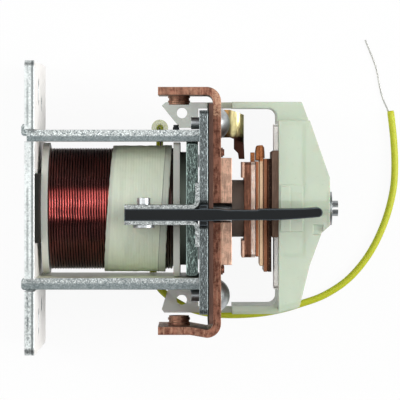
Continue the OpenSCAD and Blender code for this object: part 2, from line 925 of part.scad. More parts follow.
// Brass leaf bent round a line along Y, with a flat tail towards the contact gap
module arc_horn() {
    horn_r = 4.9;
    horn_t = 0.8;
    horn_low = 27.3;
    horn_top = 41;
    // How far the upper and lower edges slant down from left to right
    slant = 2.1;
    tail_low = 20.4;
    front_x = pad_x + 2 * horn_r;
    mid_x = pad_x + horn_r;
    mid_z = axis_z - 13.2;
    low_z = axis_z - 17;
    color(brass) place() {
        intersection() {
            difference() {
                union() {
                    rod_y(mid_x, horn_low, mid_z, horn_r, horn_top - horn_low);
                    block([pad_x, horn_low, low_z], [front_x, horn_top, mid_z]);
                }
                rod_y(mid_x, horn_low - over, mid_z, horn_r - horn_t, horn_top - horn_low + 2 * over);
                block([pad_x + horn_t, horn_low - over, low_z - over],
                    [front_x - horn_t, horn_top + over, mid_z]);
            }
            translate([0, 0, low_z])
                linear_extrude(height = mid_z + horn_r - low_z)
                    polygon([
                        [pad_x, horn_low + slant],
                        [pad_x, horn_top],
                        [mid_x - 1, horn_top],
                        [front_x, horn_top - slant],
                        [front_x, horn_low],
                        [mid_x - 1, horn_low + slant]
                    ]);
        }
        translate([0, 0, low_z])
            linear_extrude(height = horn_t)
                polygon([
                    [tip_x - 2.9, horn_low + slant - 0.4],
                    [front_x, horn_low + 0.2],
                    [tip_x + 1.6, tail_low],
                    [tip_x - 0.8, tail_low],
                    [tip_x - 1.2, tail_low + 2.5],
                    [tip_x - 2.9, tail_low + 4.2]
                ]);
    }
}

// The moving contact hangs a little below the axis
bridge_sag = 0.3;
bridge_low = -bridge_h / 2 - bridge_sag;
bridge_top = bridge_h / 2 - bridge_sag;
bridge_z = axis_z - bridge_w / 2;
// Radius of the hub's neck, which carries the moving contact and its backer
boss_hub_r = 6;
// Room round the shaft in the pieces that ride with the contact
shaft_room = 0.3;

module moving_contact() {
    color(dark_copper) place()
        difference() {
            face_plate(bridge_x, bridge_t, bridge_low, bridge_top, bridge_z, bridge_z + bridge_w, 1.5);
            rod_x(bridge_x - over, 0, axis_z, boss_hub_r, bridge_t + 2 * over);
        }
}

module contact_tips() {
    color([0.85, 0.6, 0.5]) place()
        for (y = [[bridge_low, -hub_r - 1], [hub_r + 1, bridge_top]])
            block([tip_x, y[0], bridge_z], [bridge_x, y[1], bridge_z + bridge_w]);
}

module contact_backer() {
    color(copper) place()
        difference() {
            union() {
                face_plate(backer_x, backer_t, bridge_low, bridge_top, bridge_z, bridge_z + bridge_w, 1.5);
                block([backer_x, bridge_top - 1, axis_z - 4],
                    [backer_x + backer_t, bridge_top + 4, axis_z + 6]);
            }
            rod_x(backer_x - over, 0, axis_z, boss_hub_r, backer_t + 2 * over);
        }
}

module contact_hub() {
    color([0.5, 0.52, 0.5]) place()
        difference() {
            union() {
                rod_x(pad_end + 0.1, 0, axis_z, hub_r, bridge_x - pad_end - 0.1);
                rod_x(bridge_x - over, 0, axis_z, boss_hub_r, leaf_x - bridge_x + over);
            }
            rod_x(pad_end - over, 0, axis_z, shaft_r + run_gap, leaf_x - pad_end + 2 * over);
        }
}

// Lower and upper ends of each leaf, from the contact outwards
leaf_ends = [[-19.5, 19.5], [-23.3, 21.2], [-25.7, 20.6], [-25.7, 20.6]];
leaf_w = 30;
// Upper end of the second leaf's tongue
tongue_top = 26.2;

module leaf_pack() {
    step = leaf_t + leaf_gap;
    color(copper) place()
        for (i = [0 : leaf_count - 1])
            difference() {
                union() {
                    face_plate(leaf_x + leaf_gap + i * step, leaf_t, leaf_ends[i][0], leaf_ends[i][1],
                        axis_z - leaf_w / 2, axis_z + leaf_w / 2, 2);
                    if (i == 1)
                        block([leaf_x + leaf_gap + step, leaf_ends[i][1] - 2, axis_z - 2],
                            [leaf_x + 2 * step, tongue_top, axis_z + 6]);
                }
                rod_x(leaf_x, 0, axis_z, shaft_r + shaft_room, leaf_count * step + over);
            }
}

strip_w = 20;

// Backing plate with a lip that covers the near edge of the steel strip
module backing_plate() {
    backing_w = 40;
    backing_low = -11.5;
    backing_top = 24;
    lip_gap = 0.2;
    color(brown) place()
        difference() {
            union() {
                translate([backing_x + leaf_gap, 0, axis_z - backing_w / 2])
                    linear_extrude(height = backing_w)
                        polygon([
                            [0, backing_low],
                            [0, backing_top - 0.8],
                            [backing_t - leaf_gap, backing_top],
                            [backing_t - leaf_gap, backing_low]
                        ]);
                block([strip_x - 0.1, backing_low, axis_z + strip_w / 2 + lip_gap],
                    [block_x, backing_top, axis_z + backing_w / 2]);
            }
            rod_x(backing_x - over, 0, axis_z, shaft_r + shaft_room, backing_t + 2 * over);
        }
}

module steel_strip() {
    strip_low = -33.1;
    strip_top = 34.8;
    color(zinc) place()
        difference() {
            face_plate(strip_x, strip_t, strip_low, strip_top,
                axis_z - strip_w / 2, axis_z + strip_w / 2, 1.5);
            rod_x(strip_x - over, 0, axis_z, shaft_r + shaft_room, strip_t + 2 * over);
        }
}

// Corners of the block in front of the steel strip, seen along Z
block_side = [
    [block_x, 36.2],
    [block_x + 12.6, 36.2],
    [block_end, 12.8],
    [block_end, -6.5],
    [block_x + 17.4, -9.6],
    [block_x + 12.6, -22.6],
    [block_x + 8.4, -39.7],
    [block_x, -41.8]
];
deep_x = pad_end + 0.4;
deep_z = 4;
deep_top = axis_z - 8;
block_top = axis_z + 24;
ear_x = carrier_x - 16.2;
ear_gap = 0.4;
// Middle of the ear holes, left of the carrier plates
ear_hole_x = carrier_x - 7.3;
// Walls round the lightening pockets
pocket_wall = 3;
pocket_end = 11.6;
pocket_roof = 14;

module carrier_window() {
    r = 3.4;
    translate([deep_x - over, -arm_y + arm_h + 0.9])
        square([block_x - deep_x + over - r, 2 * arm_y - 2 * arm_h - 0.9]);
    translate([deep_x - over, -arm_y + arm_h + 0.9 + r])
        square([block_x - deep_x + over, 2 * arm_y - 2 * arm_h - 0.9 - 2 * r]);
    for (y = [-arm_y + arm_h + 0.9 + r, arm_y - arm_h - r])
        translate([block_x - r, y])
            circle(r = r, $fn = fine);
}

module frame_outline() {
    difference() {
        polygon([
            [deep_x, arm_y],
            [block_x + 10.4, arm_y],
            [block_x + 13.2, 36.8],
            [block_x + 12.6, -22.6],
            [block_x + 8.6, -42],
            [block_x - 0.4, -arm_y],
            [deep_x, -arm_y]
        ]);
        carrier_window();
    }
}

// Ear at the free end of an arm, above the axis
module ear_outline(low, slant, tip, hole_x, hole_y) {
    difference() {
        union() {
            polygon([
                [ear_x + tip, arm_y],
                [ear_x + 0.4, arm_y - 1.4],
                [ear_x + slant, low],
                [carrier_x - ear_gap, low],
                [carrier_x - ear_gap, arm_y]
            ]);
            translate([carrier_x - 2, arm_y - arm_h])
                square([deep_x - carrier_x + 3, arm_h]);
        }
        translate([hole_x, hole_y])
            circle(r = ear_hole_r, $fn = fine);
    }
}

module contact_carrier() {
    color(nylon) place()
        difference() {
            union() {
                translate([0, 0, deep_z])
                    linear_extrude(height = deep_top - deep_z)
                        frame_outline();
                translate([0, 0, deep_top - over])
                    linear_extrude(height = block_top - deep_top + over)
                        polygon(block_side);
                // Low boss on the block's front with a higher step at its left
                block([block_x + 0.7, -9, block_top - over], [block_x + 9.8, 10, block_top + 0.8]);
                block([block_x + 0.7, -9, block_top - over], [block_x + 4.6, 9.4, block_top + 1.6]);
                translate([0, 0, arm_z])
                    linear_extrude(height = arm_w)
                        ear_outline(33.5, 8, 2, ear_hole_x, 39.8);
                translate([0, 0, arm_z])
                    linear_extrude(height = arm_w)
                        mirror([0, 1])
                            ear_outline(34.4, 3, 1.4, ear_hole_x - 0.1, 39);
            }
            rod_x(block_x - over, 0, axis_z, shaft_r + seat_fit, block_l + 2 * over);
            // Recess patch on the block's front
            block([block_x + 14, -10.2, block_top - 1.4], [block_x + 18, -6.2, block_top + over]);
            // Lightening pockets behind the block
            for (y = [[6, 35], [-20, -6]])
                block([block_x + pocket_wall, y[0], deep_z - over],
                    [block_x + pocket_end, y[1], block_top - pocket_roof]);
        }
}

washer_r = 6.95;
washer_t = 1.7;

module retaining_washer() {
    color([0.7, 0.72, 0.75]) place()
        difference() {
            rod_x(block_end, 0, axis_z, washer_r, washer_t);
            rod_x(block_end - over, 0, axis_z, shaft_r + seat_fit, washer_t + 2 * over);
        }
}

module splice_sleeve() {
    color(yellow) place()
        difference() {
            rod_z(splice_x, splice_y, splice_low, splice_r, splice_top - splice_low);
            rod_z(splice_x, splice_y, splice_top - splice_pocket, splice_bore, splice_pocket + over);
        }
}

// Route of the lead: down from the splice, under the coil, round the lower end, out to the right
lead_mid = lead_d / 2;
// Height of the lead's middle where it lies on the surface
level = lead_mid + 0.01;
lead_path = [
    [splice_x, splice_y, splice_low],
    [splice_x, 33.05, 6],
    [splice_x, 31.45, 3.65],
    [53.1, 29.1, 2.05],
    [53, 26.3, level + 0.03],
    [52.8, 22.4, level],
    [52.2, 15, level],
    [51.2, 4, level],
    [50.2, -8, level],
    [49.6, -20, level],
    [50.2, -28, level],
    [52.4, -34, level],
    [56, -38, level],
    [60.4, -41, level],
    [66, -43.8, level],
    [72.6, -45.6, level],
    [80, -46.4, level],
    [88.4, -46.4, level],
    [97, -45.7, level],
    [105, -44.2, level],
    [113, -41.9, level],
    [123.6, -38, level],
    [134, -31, level],
    [142.8, -20.4, level],
    [149.2, -7.4, level],
    [152.8, 5.4, level],
    [153.8, 16, level],
    [153.4, 28, level],
    [152, 41, level]
];

conductor_path = [
    [152, 41, level],
    [151, 43, 0.9],
    [149.2, 45.4, 0.4],
    [148, 49, 0.4],
    [147, 53.6, 0.4],
    [145.8, 59.6, 0.4],
    [143.8, 65, 0.4],
    [141.2, 71.4, 0.4]
];

// Points between the chosen ones on a smooth curve
smooth_steps = 2;
function between(a, b, c, d, t) =
    0.5 * ((2 * b) + (c - a) * t + (2 * a - 5 * b + 4 * c - d) * t * t + (3 * b - a - 3 * c + d) * t * t * t);
function smooth(path, steps) =
    let (n = len(path) - 1)
    concat([for (i = [0 : n - 1], k = [0 : steps - 1])
        between(path[max(i - 1, 0)], path[i], path[i + 1], path[min(i + 2, n)], k / steps)], [path[n]]);

// Rings whose sides keep one flat edge upward on the level stretch
function lead_rings(path, r, sides) =
    [for (i = [0 : len(path) - 1])
        let (
            t = i == 0 && path[0][2] > 5 ? [0, 0, -1] : way(path, i),
            side = unit(cross(t, unit([-t[1], t[0], 0] + [-0.0001, 0, 0]))),
            across = cross(side, t)
        )
        ring(path[i], across, cross(t, across), r, sides)];

module lead_sleeve() {
    color(yellow) place()
        skin(lead_rings(smooth(lead_path, smooth_steps), lead_mid, 8));
}

module lead_conductor() {
    color([0.75, 0.75, 0.74]) place()
        skin(lead_rings(smooth(conductor_path, smooth_steps), conductor_d / 2, 6));
}

// Small black clip with a round button on the upper bar
module bar_clip() {
    clip_x = 60.5;
    clip_z = axis_z + 15;
    clip_w = 2.6;
    clip_l = 6;
    clip_h = 1.1;
    color(black) place() {
        block([clip_x - clip_w / 2, bar_outer, clip_z - clip_l / 2],
            [clip_x + clip_w / 2, bar_outer + clip_h, clip_z + clip_l / 2]);
        rod_y(clip_x, bar_outer + clip_h - 0.1, clip_z, 1.1, 1.1);
    }
}

mounting_plate();
upper_yoke_bar();
lower_yoke_bar();
spacer_strip();
fixed_core();
core_screw();
coil_bobbin();
winding_core();
coil_winding();
coil_tape();
coil_end_wire();
coil_end_ring();
guide_tube();
plunger();
plunger_shaft();
return_spring();
pole_plate();
upper_carrier_plate();
lower_carrier_plate();
upper_bracket();
lower_bracket();
bracket_rivet();
barrier_blade();
insulation_sheet();
insulator_board();
upper_terminal();
lower_terminal();
terminal_rivets();
fixed_contacts();
contact_rivets();
arc_horn();
moving_contact();
contact_tips();
contact_backer();
contact_hub();
leaf_pack();
backing_plate();
steel_strip();
contact_carrier();
retaining_washer();
splice_sleeve();
lead_sleeve();
lead_conductor();
bar_clip();
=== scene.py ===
"""Looks of an open-frame starter solenoid: coil, tape, springs, lead and finishes."""

import json
import math
import random

import bmesh
import bpy
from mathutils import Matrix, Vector, noise

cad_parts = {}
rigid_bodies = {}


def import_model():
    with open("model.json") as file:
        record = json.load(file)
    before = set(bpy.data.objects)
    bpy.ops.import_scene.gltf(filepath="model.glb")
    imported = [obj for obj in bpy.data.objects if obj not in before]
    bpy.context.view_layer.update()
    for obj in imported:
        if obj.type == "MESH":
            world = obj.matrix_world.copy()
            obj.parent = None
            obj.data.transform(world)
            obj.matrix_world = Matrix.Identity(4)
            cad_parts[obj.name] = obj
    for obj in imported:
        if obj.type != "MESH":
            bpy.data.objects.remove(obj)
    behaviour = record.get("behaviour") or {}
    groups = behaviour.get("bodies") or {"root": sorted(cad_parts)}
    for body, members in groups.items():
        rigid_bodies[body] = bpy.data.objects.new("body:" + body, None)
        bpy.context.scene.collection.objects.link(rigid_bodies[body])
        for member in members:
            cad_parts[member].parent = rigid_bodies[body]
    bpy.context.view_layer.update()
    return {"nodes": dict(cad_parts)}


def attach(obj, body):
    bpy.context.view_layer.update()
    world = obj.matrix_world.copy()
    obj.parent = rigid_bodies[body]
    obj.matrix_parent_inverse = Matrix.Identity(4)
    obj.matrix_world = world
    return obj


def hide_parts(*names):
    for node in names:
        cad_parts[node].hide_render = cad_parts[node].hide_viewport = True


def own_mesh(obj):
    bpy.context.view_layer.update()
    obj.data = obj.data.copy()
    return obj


bl_info = {
    "name": "Starter solenoid looks",
    "version": (1, 0, 0),
    "blender": (4, 5, 0),
    "location": "View3D > Sidebar > Solenoid",
    "description": "Coil, lead, springs and finishes of an open-frame starter solenoid",
    "category": "Object",
}

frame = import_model()

MM = 0.001
# All lengths below are in millimetres; in the frame, except for the routes of the wires
# From the mounting plate's left face, where the routes start, to the frame's zero
SHIFT = Vector((-62.64, -1.0, 0))
# A point of the coil's axis
AXIS = Vector((0, -1.0, 44))
# The winding's left end and length, its bore, and the radius below its outer layer
WIND_X = -54.34
WIND_L = 51.2
BORE_R = 15.1
CORE_R = 24.0
# Slants of the tape's left edge, right edge and seam, as rise over run
LEFT_SLANT, RIGHT_SLANT, SEAM_SLANT = (math.tan(math.radians(a)) for a in (4.1, 3.2, 3.6))
# The tape's edges and seam beside the coil's axis, and its bore
TAPE_LEFT = WIND_X + 24.4
TAPE_RIGHT = WIND_X + WIND_L - 2.2
TAPE_SEAM = -8.24
TAPE_BORE_R = 25.1
# Left face of the first leaf, step from leaf to leaf, and the lower and upper end of each
LEAF_X, LEAF_STEP = 30.4, 1.67
LEAF_ENDS = ((-20.5, 18.5), (-24.3, 20.2), (-26.7, 19.6), (-26.7, 19.6))

# Bands where a finish, or the painted light and shade, changes: it sets in at the first number and
# is full at the second
OUTLINE_LEFT, OUTLINE_RIGHT = (-60.1, -59.7), (-58.9, -59.3)
FLECKS_Y, FLECKS_X = (-30, -36), (-59.0, -59.3)
UPPER_BAR_SHADE, LOWER_BAR_SHADE = (29.8, 29.1), (-29.8, -30.8)
PEENED_HEAD = (-62.5, -62.8)
BURNT_TIP = (18.3, 18.9)
HORN_TAIL = (31.0, 29.0)
LEAF_HIGHLIGHT, LEAF_SHADE, LEAF_SHADOW = (31.3, 31.9), (32.6, 34.2), (34.8, 36.0)
TONGUE_Y, TONGUE_X = (18.7, 19.2), (33.9, 33.6)
SHADED_TURNS = (-9.5, -8.5)
RIGHT_FLANGE_SHADE = (-6, -4)
RUBBED_TAB_Y, RUBBED_TAB_X, CLEAN_TAB_X = (37.2, 40.7), (11.9, 13.9), (10.5, 7.0)
LOWER_EAR_Y, LOWER_EAR_X, DENSE_NYLON = (-34.5, -36), (13, 9), (9, 13)


def linear(red, green, blue):
    """Colour as the shader takes it, from eye values of 0 to 255."""
    out = []
    for value in (red, green, blue):
        v = value / 255
        out.append(v / 12.92 if v <= 0.04045 else ((v + 0.055) / 1.055) ** 2.4)
    return tuple(out)


def length(name, description, default):
    return bpy.props.FloatProperty(
        name=name, description=description, default=default, min=0.0, precision=5, unit="LENGTH")


def colour(name, description, red, green, blue):
    return bpy.props.FloatVectorProperty(
        name=name, description=description, default=linear(red, green, blue),
        size=3, min=0.0, max=1.0, subtype="COLOR")


class SolenoidSizes(bpy.types.PropertyGroup):
    """Sizes of the wound and soft pieces."""

    wire_diameter: length("Coil wire", "Diameter of the enamelled coil wire", 0.00104)
    wire_pitch: length("Turn pitch", "Distance between neighbouring turns", 0.00109)
    wire_turns: bpy.props.IntProperty(
        name="Turns", description="Turns in the outer layer", default=46, min=1, max=60)
    tape_wrinkle: length("Tape wrinkles", "Height of the wrinkles in the tape", 0.00016)
    spring_wire: length("Spring wire", "Diameter of the return spring's wire", 0.0011)
    leaf_thickness: length("Leaf", "Thickness of one leaf spring", 0.0015)
    lead_diameter: length("Lead", "Diameter of the lead's insulation", 0.003)
    strand_diameter: length("Strand", "Diameter of one strand in the lead", 0.00026)
    # Also the width of the band along the edges that the finishes paint lighter, partly as wear and
    # partly as painted highlight
    rounding: length("Edge rounding", "Radius of the worn edges of the sheet metal", 0.0004)


class SolenoidFinishes(bpy.types.PropertyGroup):
    """Colours of the finishes."""

    zinc: colour("Zinc", "Dull plated steel", 206, 212, 211)
    # Also the colour of the painted shade on the plate's edge and on the yoke bars
    zinc_dark: colour("Zinc fracture", "Rough dark half of a sheared edge", 104, 116, 118)
    # Painted light and reflection on the broad faces that look into the light
    lit_face_colour: colour("Pale face", "Broad plated faces that stand in the light", 255, 251, 247)
    # Painted reflection, cream, on the lower bar's inner face
    cream_reflection_colour: colour("Cream face", "Inner face of the lower bar", 247, 251, 226)
    olive: colour("Olive zinc", "Darker plate at the coil's right end", 116, 132, 127)
    grey_zinc: colour("Grey zinc", "Plates that carry the terminals", 134, 143, 144)
    bright: colour("Bright steel", "Rivets, washer and shaft", 206, 210, 212)
    iron: colour("Iron", "Turned soft iron", 150, 152, 154)
    copper: colour("Copper", "Tarnished copper bars", 162, 112, 92)
    copper_dark: colour("Dark copper", "Heat-darkened copper", 98, 60, 48)
    tab: colour("Terminal copper", "Cleaner copper of the terminal tabs", 166, 132, 109)
    bridge: colour("Bridge copper", "Brown copper of the moving contact", 126, 84, 66)
    # Pale copper that stands in for a highlight on the backer: painted highlight
    backer_highlight: colour("Backer copper", "Pale strip behind the moving contact", 232, 202, 184)
    contact: colour("Contact copper", "Worn contact faces", 226, 184, 160)
    leaf: colour("Leaf copper", "Orange copper of the first leaf", 166, 104, 72)
    # The pale, brown and dark leaf colours are painted highlight, shade and shadow across the
    # rounded leaves
    leaf_highlight: colour("Pale leaf", "Brightest part of the leaves", 224, 194, 160)
    leaf_shaded: colour("Brown leaf", "Browner leaves behind", 140, 90, 64)
    # Painted shadow at the back of the last leaf
    leaf_shadow: colour("Dark leaf", "Back of the last leaf, burnt dark", 44, 26, 19)
    tongue: colour(
        "Tongue copper", "Orange-brown tips between the bridge and the leaves", 178, 114, 72)
    brass: colour("Brass", "Dull brass", 216, 204, 150)
    enamel: colour("Enamel", "Enamel of the coil wire", 150, 62, 58)
    tape: colour("Tape", "Pale tape over the coil", 216, 224, 204)
    bobbin: colour("Bobbin", "Moulded bobbin", 228, 230, 220)
    nylon: colour("Nylon", "Moulded contact carrier", 204, 218, 195)
    fibre: colour("Fibre", "Black fibre sheet", 24, 25, 22)
    barrier: colour("Barrier", "Black moulded barrier", 22, 25, 27)
    laminate: colour("Laminate", "Brown laminate", 88, 62, 52)
    backing: colour("Backing", "Lighter brown laminate behind the leaves", 116, 92, 78)
    grey: colour("Grey moulding", "Hub of the bridge", 138, 126, 116)
    ring: colour("End ring", "Pale green ring beside the bobbin", 150, 160, 148)
    lead: colour("Lead", "Yellow insulation", 189, 194, 34)
    splice: colour("Splice", "Pale yellow sleeve over the joint", 232, 238, 140)
    tin: colour("Tin", "Tinned strands", 196, 196, 192)
    floor: colour("Floor", "Plain pale floor", 232, 232, 232)


class Field:
    """A value, vector or colour that changes over a surface."""

    MATHS = {"+": "ADD", "-": "SUBTRACT", "*": "MULTIPLY", "**": "POWER"}

    def __init__(self, surface, socket):
        self.surface = surface
        self.socket = socket

    def join(self, sign, other, turned=False):
        """Adds the node for an operator between this and the other."""
        first, second = (other, self) if turned else (self, other)
        kinds = [f.socket.type for f in (first, second) if isinstance(f, Field)]
        operation = self.MATHS[sign]
        if "RGBA" in kinds:
            return self.surface.node(
                "ShaderNodeMix",
                {"data_type": "RGBA", "blend_type": operation, "clamp_result": False},
                {0: 1.0, 6: first, 7: second}, 2)
        if "VECTOR" in kinds:
            return self.surface.node(
                "ShaderNodeVectorMath", {"operation": operation}, {0: first, 1: second})
        return self.surface.node("ShaderNodeMath", {"operation": operation}, {0: first, 1: second})

    def __add__(self, other): return self.join("+", other)
    def __radd__(self, other): return self.join("+", other, True)
    def __sub__(self, other): return self.join("-", other)
    def __rsub__(self, other): return self.join("-", other, True)
    def __mul__(self, other): return self.join("*", other)
    def __rmul__(self, other): return self.join("*", other, True)
    def __pow__(self, other): return self.join("**", other)

    def step(self, low, high):
        """0 below low, 1 above high and smooth between them."""
        return self.surface.node(
            "ShaderNodeMapRange", {"interpolation_type": "SMOOTHSTEP"},
            {"Value": self, "From Min": low, "From Max": high})

    def wave(self):
        return self.surface.node("ShaderNodeMath", {"operation": "SINE"}, {0: self})

    def dot(self, other):
        return self.surface.node(
            "ShaderNodeVectorMath", {"operation": "DOT_PRODUCT"}, {0: self, 1: other}, "Value")


class NodeTree:
    """A tree of nodes that is being made."""

    def __init__(self, tree):
        self.tree = tree

    def node(self, kind, settings, values, output=0):
        """Adds a node: its settings first, then the values or links of its sockets."""
        made = self.tree.nodes.new(kind)
        for key, value in settings.items():
            setattr(made, key, value)
        for key, value in values.items():
            socket = made.inputs[key]
            if isinstance(value, Field):
                self.tree.links.new(value.socket, socket)
            elif socket.type == "RGBA" and len(value) == 3:
                socket.default_value = (*value, 1.0)
            else:
                socket.default_value = value
        return made if output is None else Field(self, made.outputs[output])


class Surface(NodeTree):
    """A material that is being made."""

    def __init__(self, name, **constants):
        self.material = bpy.data.materials.new(name)
        self.material.use_nodes = True
        super().__init__(self.material.node_tree)
        self.shader = self.tree.nodes["Principled BSDF"]
        for key, value in constants.items():
            socket = key.replace("_", " ").title().replace("Ior", "IOR")
            self.shader.inputs[socket].default_value = value
        metres = self.node("ShaderNodeTexCoord", {}, {}, "Object")
        self.at = self.node(
            "ShaderNodeVectorMath", {"operation": "SCALE"}, {0: metres, "Scale": 1 / MM})
        parts = self.node("ShaderNodeSeparateXYZ", {}, {0: self.at}, None)
        self.x, self.y, self.z = [Field(self, o) for o in parts.outputs]

    def cloud(self, size, detail=3.0, stretch=(1, 1, 1), roughness=0.5):
        """Soft noise with blotches of the given size in millimetres."""
        at = self.at * Vector(stretch) if stretch != (1, 1, 1) else self.at
        return self.node(
            "ShaderNodeTexNoise", {"noise_dimensions": "3D"},
            {"Vector": at, "Scale": 1 / size, "Detail": detail, "Roughness": roughness})

    def grains(self, size):
        """Cells of the given size, each with its own brightness."""
        cell = self.node(
            "ShaderNodeTexVoronoi", {"feature": "F1"},
            {"Vector": self.at, "Scale": 1 / size}, "Color")
        return self.node("ShaderNodeSeparateColor", {}, {0: cell}, "Red")

    def mix(self, share, first, second):
        return self.node(
            "ShaderNodeMix", {"data_type": "RGBA", "blend_type": "MIX"},
            {0: share, 6: first, 7: second}, 2)

    def edges(self, radius):
        """1 on outer edges, 0 on flats; the finishes paint these edges lighter, partly as wear and
        partly as painted highlight.
        """
        rounded = self.rounded(radius)
        return (1 - rounded.dot(self.normal())).step(0.01, 0.16)

    def facing(self, side):
        """1 on faces that look to the given side, 0 elsewhere."""
        return self.normal().dot(Vector(side)).step(0.5, 0.9)

    def normal(self):
        return self.node("ShaderNodeNewGeometry", {}, {}, "Normal")

    def rounded(self, radius):
        """Normal with the edges rounded off."""
        return self.node("ShaderNodeBevel", {"samples": 6}, {"Radius": radius}, "Normal")

    def paint(self, base, roughness=None, height=None, depth=0.0, rounding=0.0, metallic=None,
              alpha=None):
        """Feeds the shader with what changes over the surface; depth is in millimetres."""
        inputs = self.shader.inputs
        for socket, value in (("Base Color", base), ("Roughness", roughness),
                              ("Metallic", metallic), ("Alpha", alpha)):
            if isinstance(value, Field):
                self.tree.links.new(value.socket, inputs[socket])
            elif value is not None:
                inputs[socket].default_value = (*value, 1.0) if socket == "Base Color" else value
        normal = self.rounded(rounding) if rounding else None
        if height is not None:
            links = {"Height": height, "Strength": 1.0, "Distance": depth * MM}
            if normal:
                links["Normal"] = normal
            normal = self.node("ShaderNodeBump", {}, links)
        if normal:
            self.tree.links.new(normal.socket, inputs["Normal"])
        return self.material


def shade(colours, factor):
    """Lighter or darker colour, no channel above 1."""
    return tuple(min(1.0, c * factor) for c in colours)


def plated(name, base, dark, rounding, sparkle=0.5, tone=None, pale=None, side=None, glint=1.7,
           streaky=False):
    """Dull zinc plate: blotches, grains or streaks with painted glints, thin stains, and edges
    painted lighter, partly as wear and partly as painted highlight.

    The tone function says where it is dark, partly as painted shade, and pale is the colour painted
    on the faces that look to side, as painted light and reflection.
    """
    s = Surface(name, metallic=0.85, specular_ior_level=0.5)
    blotch = s.cloud(5.0, 4.0)
    if streaky:
        grain = s.cloud(0.36, 4.0, (1.6, 0.22, 1), 0.7).step(0.3, 0.74)
    else:
        grain = s.grains(0.4)
    fine = s.cloud(0.45, 2.0)
    grit = s.cloud(0.7, 3.0, roughness=0.6)
    skin = s.mix(blotch.step(0.35, 0.68), shade(base, 0.82), base)
    # The bright grains and streaks are painted glints; the dark grains are grain in the plating
    skin = s.mix(grain.step(0.6, 0.9) * sparkle, skin, shade(base, glint))
    skin = s.mix(grain.step(0.34, 0.08) * sparkle, skin, dark)
    if tone is not None:
        skin = s.mix(tone(s), skin, dark)
    stain = s.cloud(2.2, 5.0, roughness=0.7).step(0.58, 0.72) * 0.4
    skin = s.mix(stain, skin, shade(dark, 0.8))
    metallic = None
    if side is not None:
        # Faces that look to side are painted pale: painted light and reflection
        lit_faces = s.facing(side)
        skin = s.mix(lit_faces * (0.95 - blotch.step(0.5, 0.75) * 0.2), skin, pale)
        metallic = 0.85 - lit_faces * 0.8
    # Edges painted lighter: partly worn plating, partly painted highlight
    edge_highlight = s.edges(rounding * (1.6 if streaky else 1.0))
    skin = s.mix(edge_highlight * 0.8, skin, shade(base, max(glint, 1.7)))
    return s.paint(skin, 0.26 + fine * 0.3, grit + fine * 0.3, 0.05 + 0.09 * sparkle, rounding,
                   metallic)


def sheared(s):
    """Where the plate's sheared edge is dark: a band along it, partly its rough fracture half and
    partly painted shade where the edge rolls over, a broken line at -61.4, flecks at one end.
    """
    rough = s.cloud(0.8, 3.0) * 0.8 - 0.4
    # Dark band: partly the fracture half of the sheared edge, partly painted shade
    fracture_and_shade_band = (s.x + rough * 0.8).step(*OUTLINE_LEFT) * (s.x + rough * 0.5).step(*OUTLINE_RIGHT) * 0.72
    line = s.x + rough * 0.8 + 61.4
    broken = (line * line).step(0.3, 0.02) * s.cloud(3.0, 4.0, (0.4, 0.3, 1)).step(0.4, 0.56)
    fleck = (s.cloud(0.8, 4.0, (1, 0.7, 1), 0.7).step(0.46, 0.6)
             * s.y.step(*FLECKS_Y) * s.x.step(*FLECKS_X))
    return fracture_and_shade_band + (broken * 0.5 + fleck * 0.5) * (1 - fracture_and_shade_band)


def upper_bar_shade_and_heads(s):
    """Painted shade on the upper yoke bar's side towards -y, its inner half, and darker peened
    heads.
    """
    half = (s.y + s.cloud(0.7, 3.0)).step(*UPPER_BAR_SHADE) * 0.8
    head = s.x.step(*PEENED_HEAD) * s.cloud(0.9, 4.0).step(0.35, 0.6) * 0.75
    return half + head * (1 - half)


def lower_bar_shade(s):
    """Painted shade on the lower yoke bar's side towards -y."""
    return (s.y + s.cloud(0.7, 3.0)).step(*LOWER_BAR_SHADE) * 0.7


def turned(name, base, rough, rounding):
    """Bright turned or drawn steel with fine rings and scuffs."""
    s = Surface(name, metallic=0.95)
    rings = s.cloud(0.3, 2.0, (1, 0.2, 0.2))
    scuff = s.cloud(1.8, 5.0, roughness=0.7)
    skin = s.mix(scuff.step(0.4, 0.7) * 0.6, base, shade(base, 0.62))
    skin = s.mix(rings.step(0.5, 0.7) * 0.35, skin, shade(base, 1.3))
    # Edges painted lighter: partly wear, partly painted highlight
    skin = s.mix(s.edges(rounding) * 0.5, skin, shade(base, 1.3))
    return s.paint(skin, rough + scuff * 0.25, rings, 0.02, rounding)


def bare_copper(name, base, dark, rounding, bright=None, worn=None, tip=None):
    """Copper bar: red-brown mottling, dark tarnish, lengthwise streaks, and edges painted lighter,
    partly as wear and partly as painted highlight.

    The worn function says where it is worn clean and painted lighter, and tip is the colour of a
    heat-darkened end.
    """
    s = Surface(name, metallic=0.85)
    patch = s.cloud(3.2, 5.0, roughness=0.65)
    speck = s.cloud(0.5, 3.0)
    draw = s.cloud(0.75, 3.0, (1, 0.13, 0.13), 0.65)
    bright = bright or shade(base, 1.7)
    skin = s.mix(patch.step(0.38, 0.62), dark, base)
    skin = s.mix(speck.step(0.56, 0.74) * 0.55, skin, bright)
    skin = s.mix(speck.step(0.42, 0.26) * 0.6, skin, shade(dark, 0.6))
    skin = s.mix(draw.step(0.46, 0.36) * 0.55, skin, shade(dark, 0.6))
    if worn is not None:
        skin = s.mix(worn(s), skin, shade(bright, 1.45))
    skin = s.mix(draw.step(0.55, 0.66) * 0.5, skin, shade(bright, 1.45))
    # Edges painted lighter: partly wear, partly painted highlight
    worn_and_lit = s.mix(s.edges(rounding * 1.3) * 0.85, skin, shade(bright, 1.25))
    if tip is not None:
        above = (s.y + patch * 0.6).step(*BURNT_TIP)
        end_tone = s.mix(speck.step(0.35, 0.65), shade(tip, 0.6), shade(tip, 1.25))
        worn_and_lit = s.mix(above, worn_and_lit, end_tone)
    return s.paint(worn_and_lit, 0.3 + patch * 0.3, speck + draw * 0.6, 0.08, rounding)


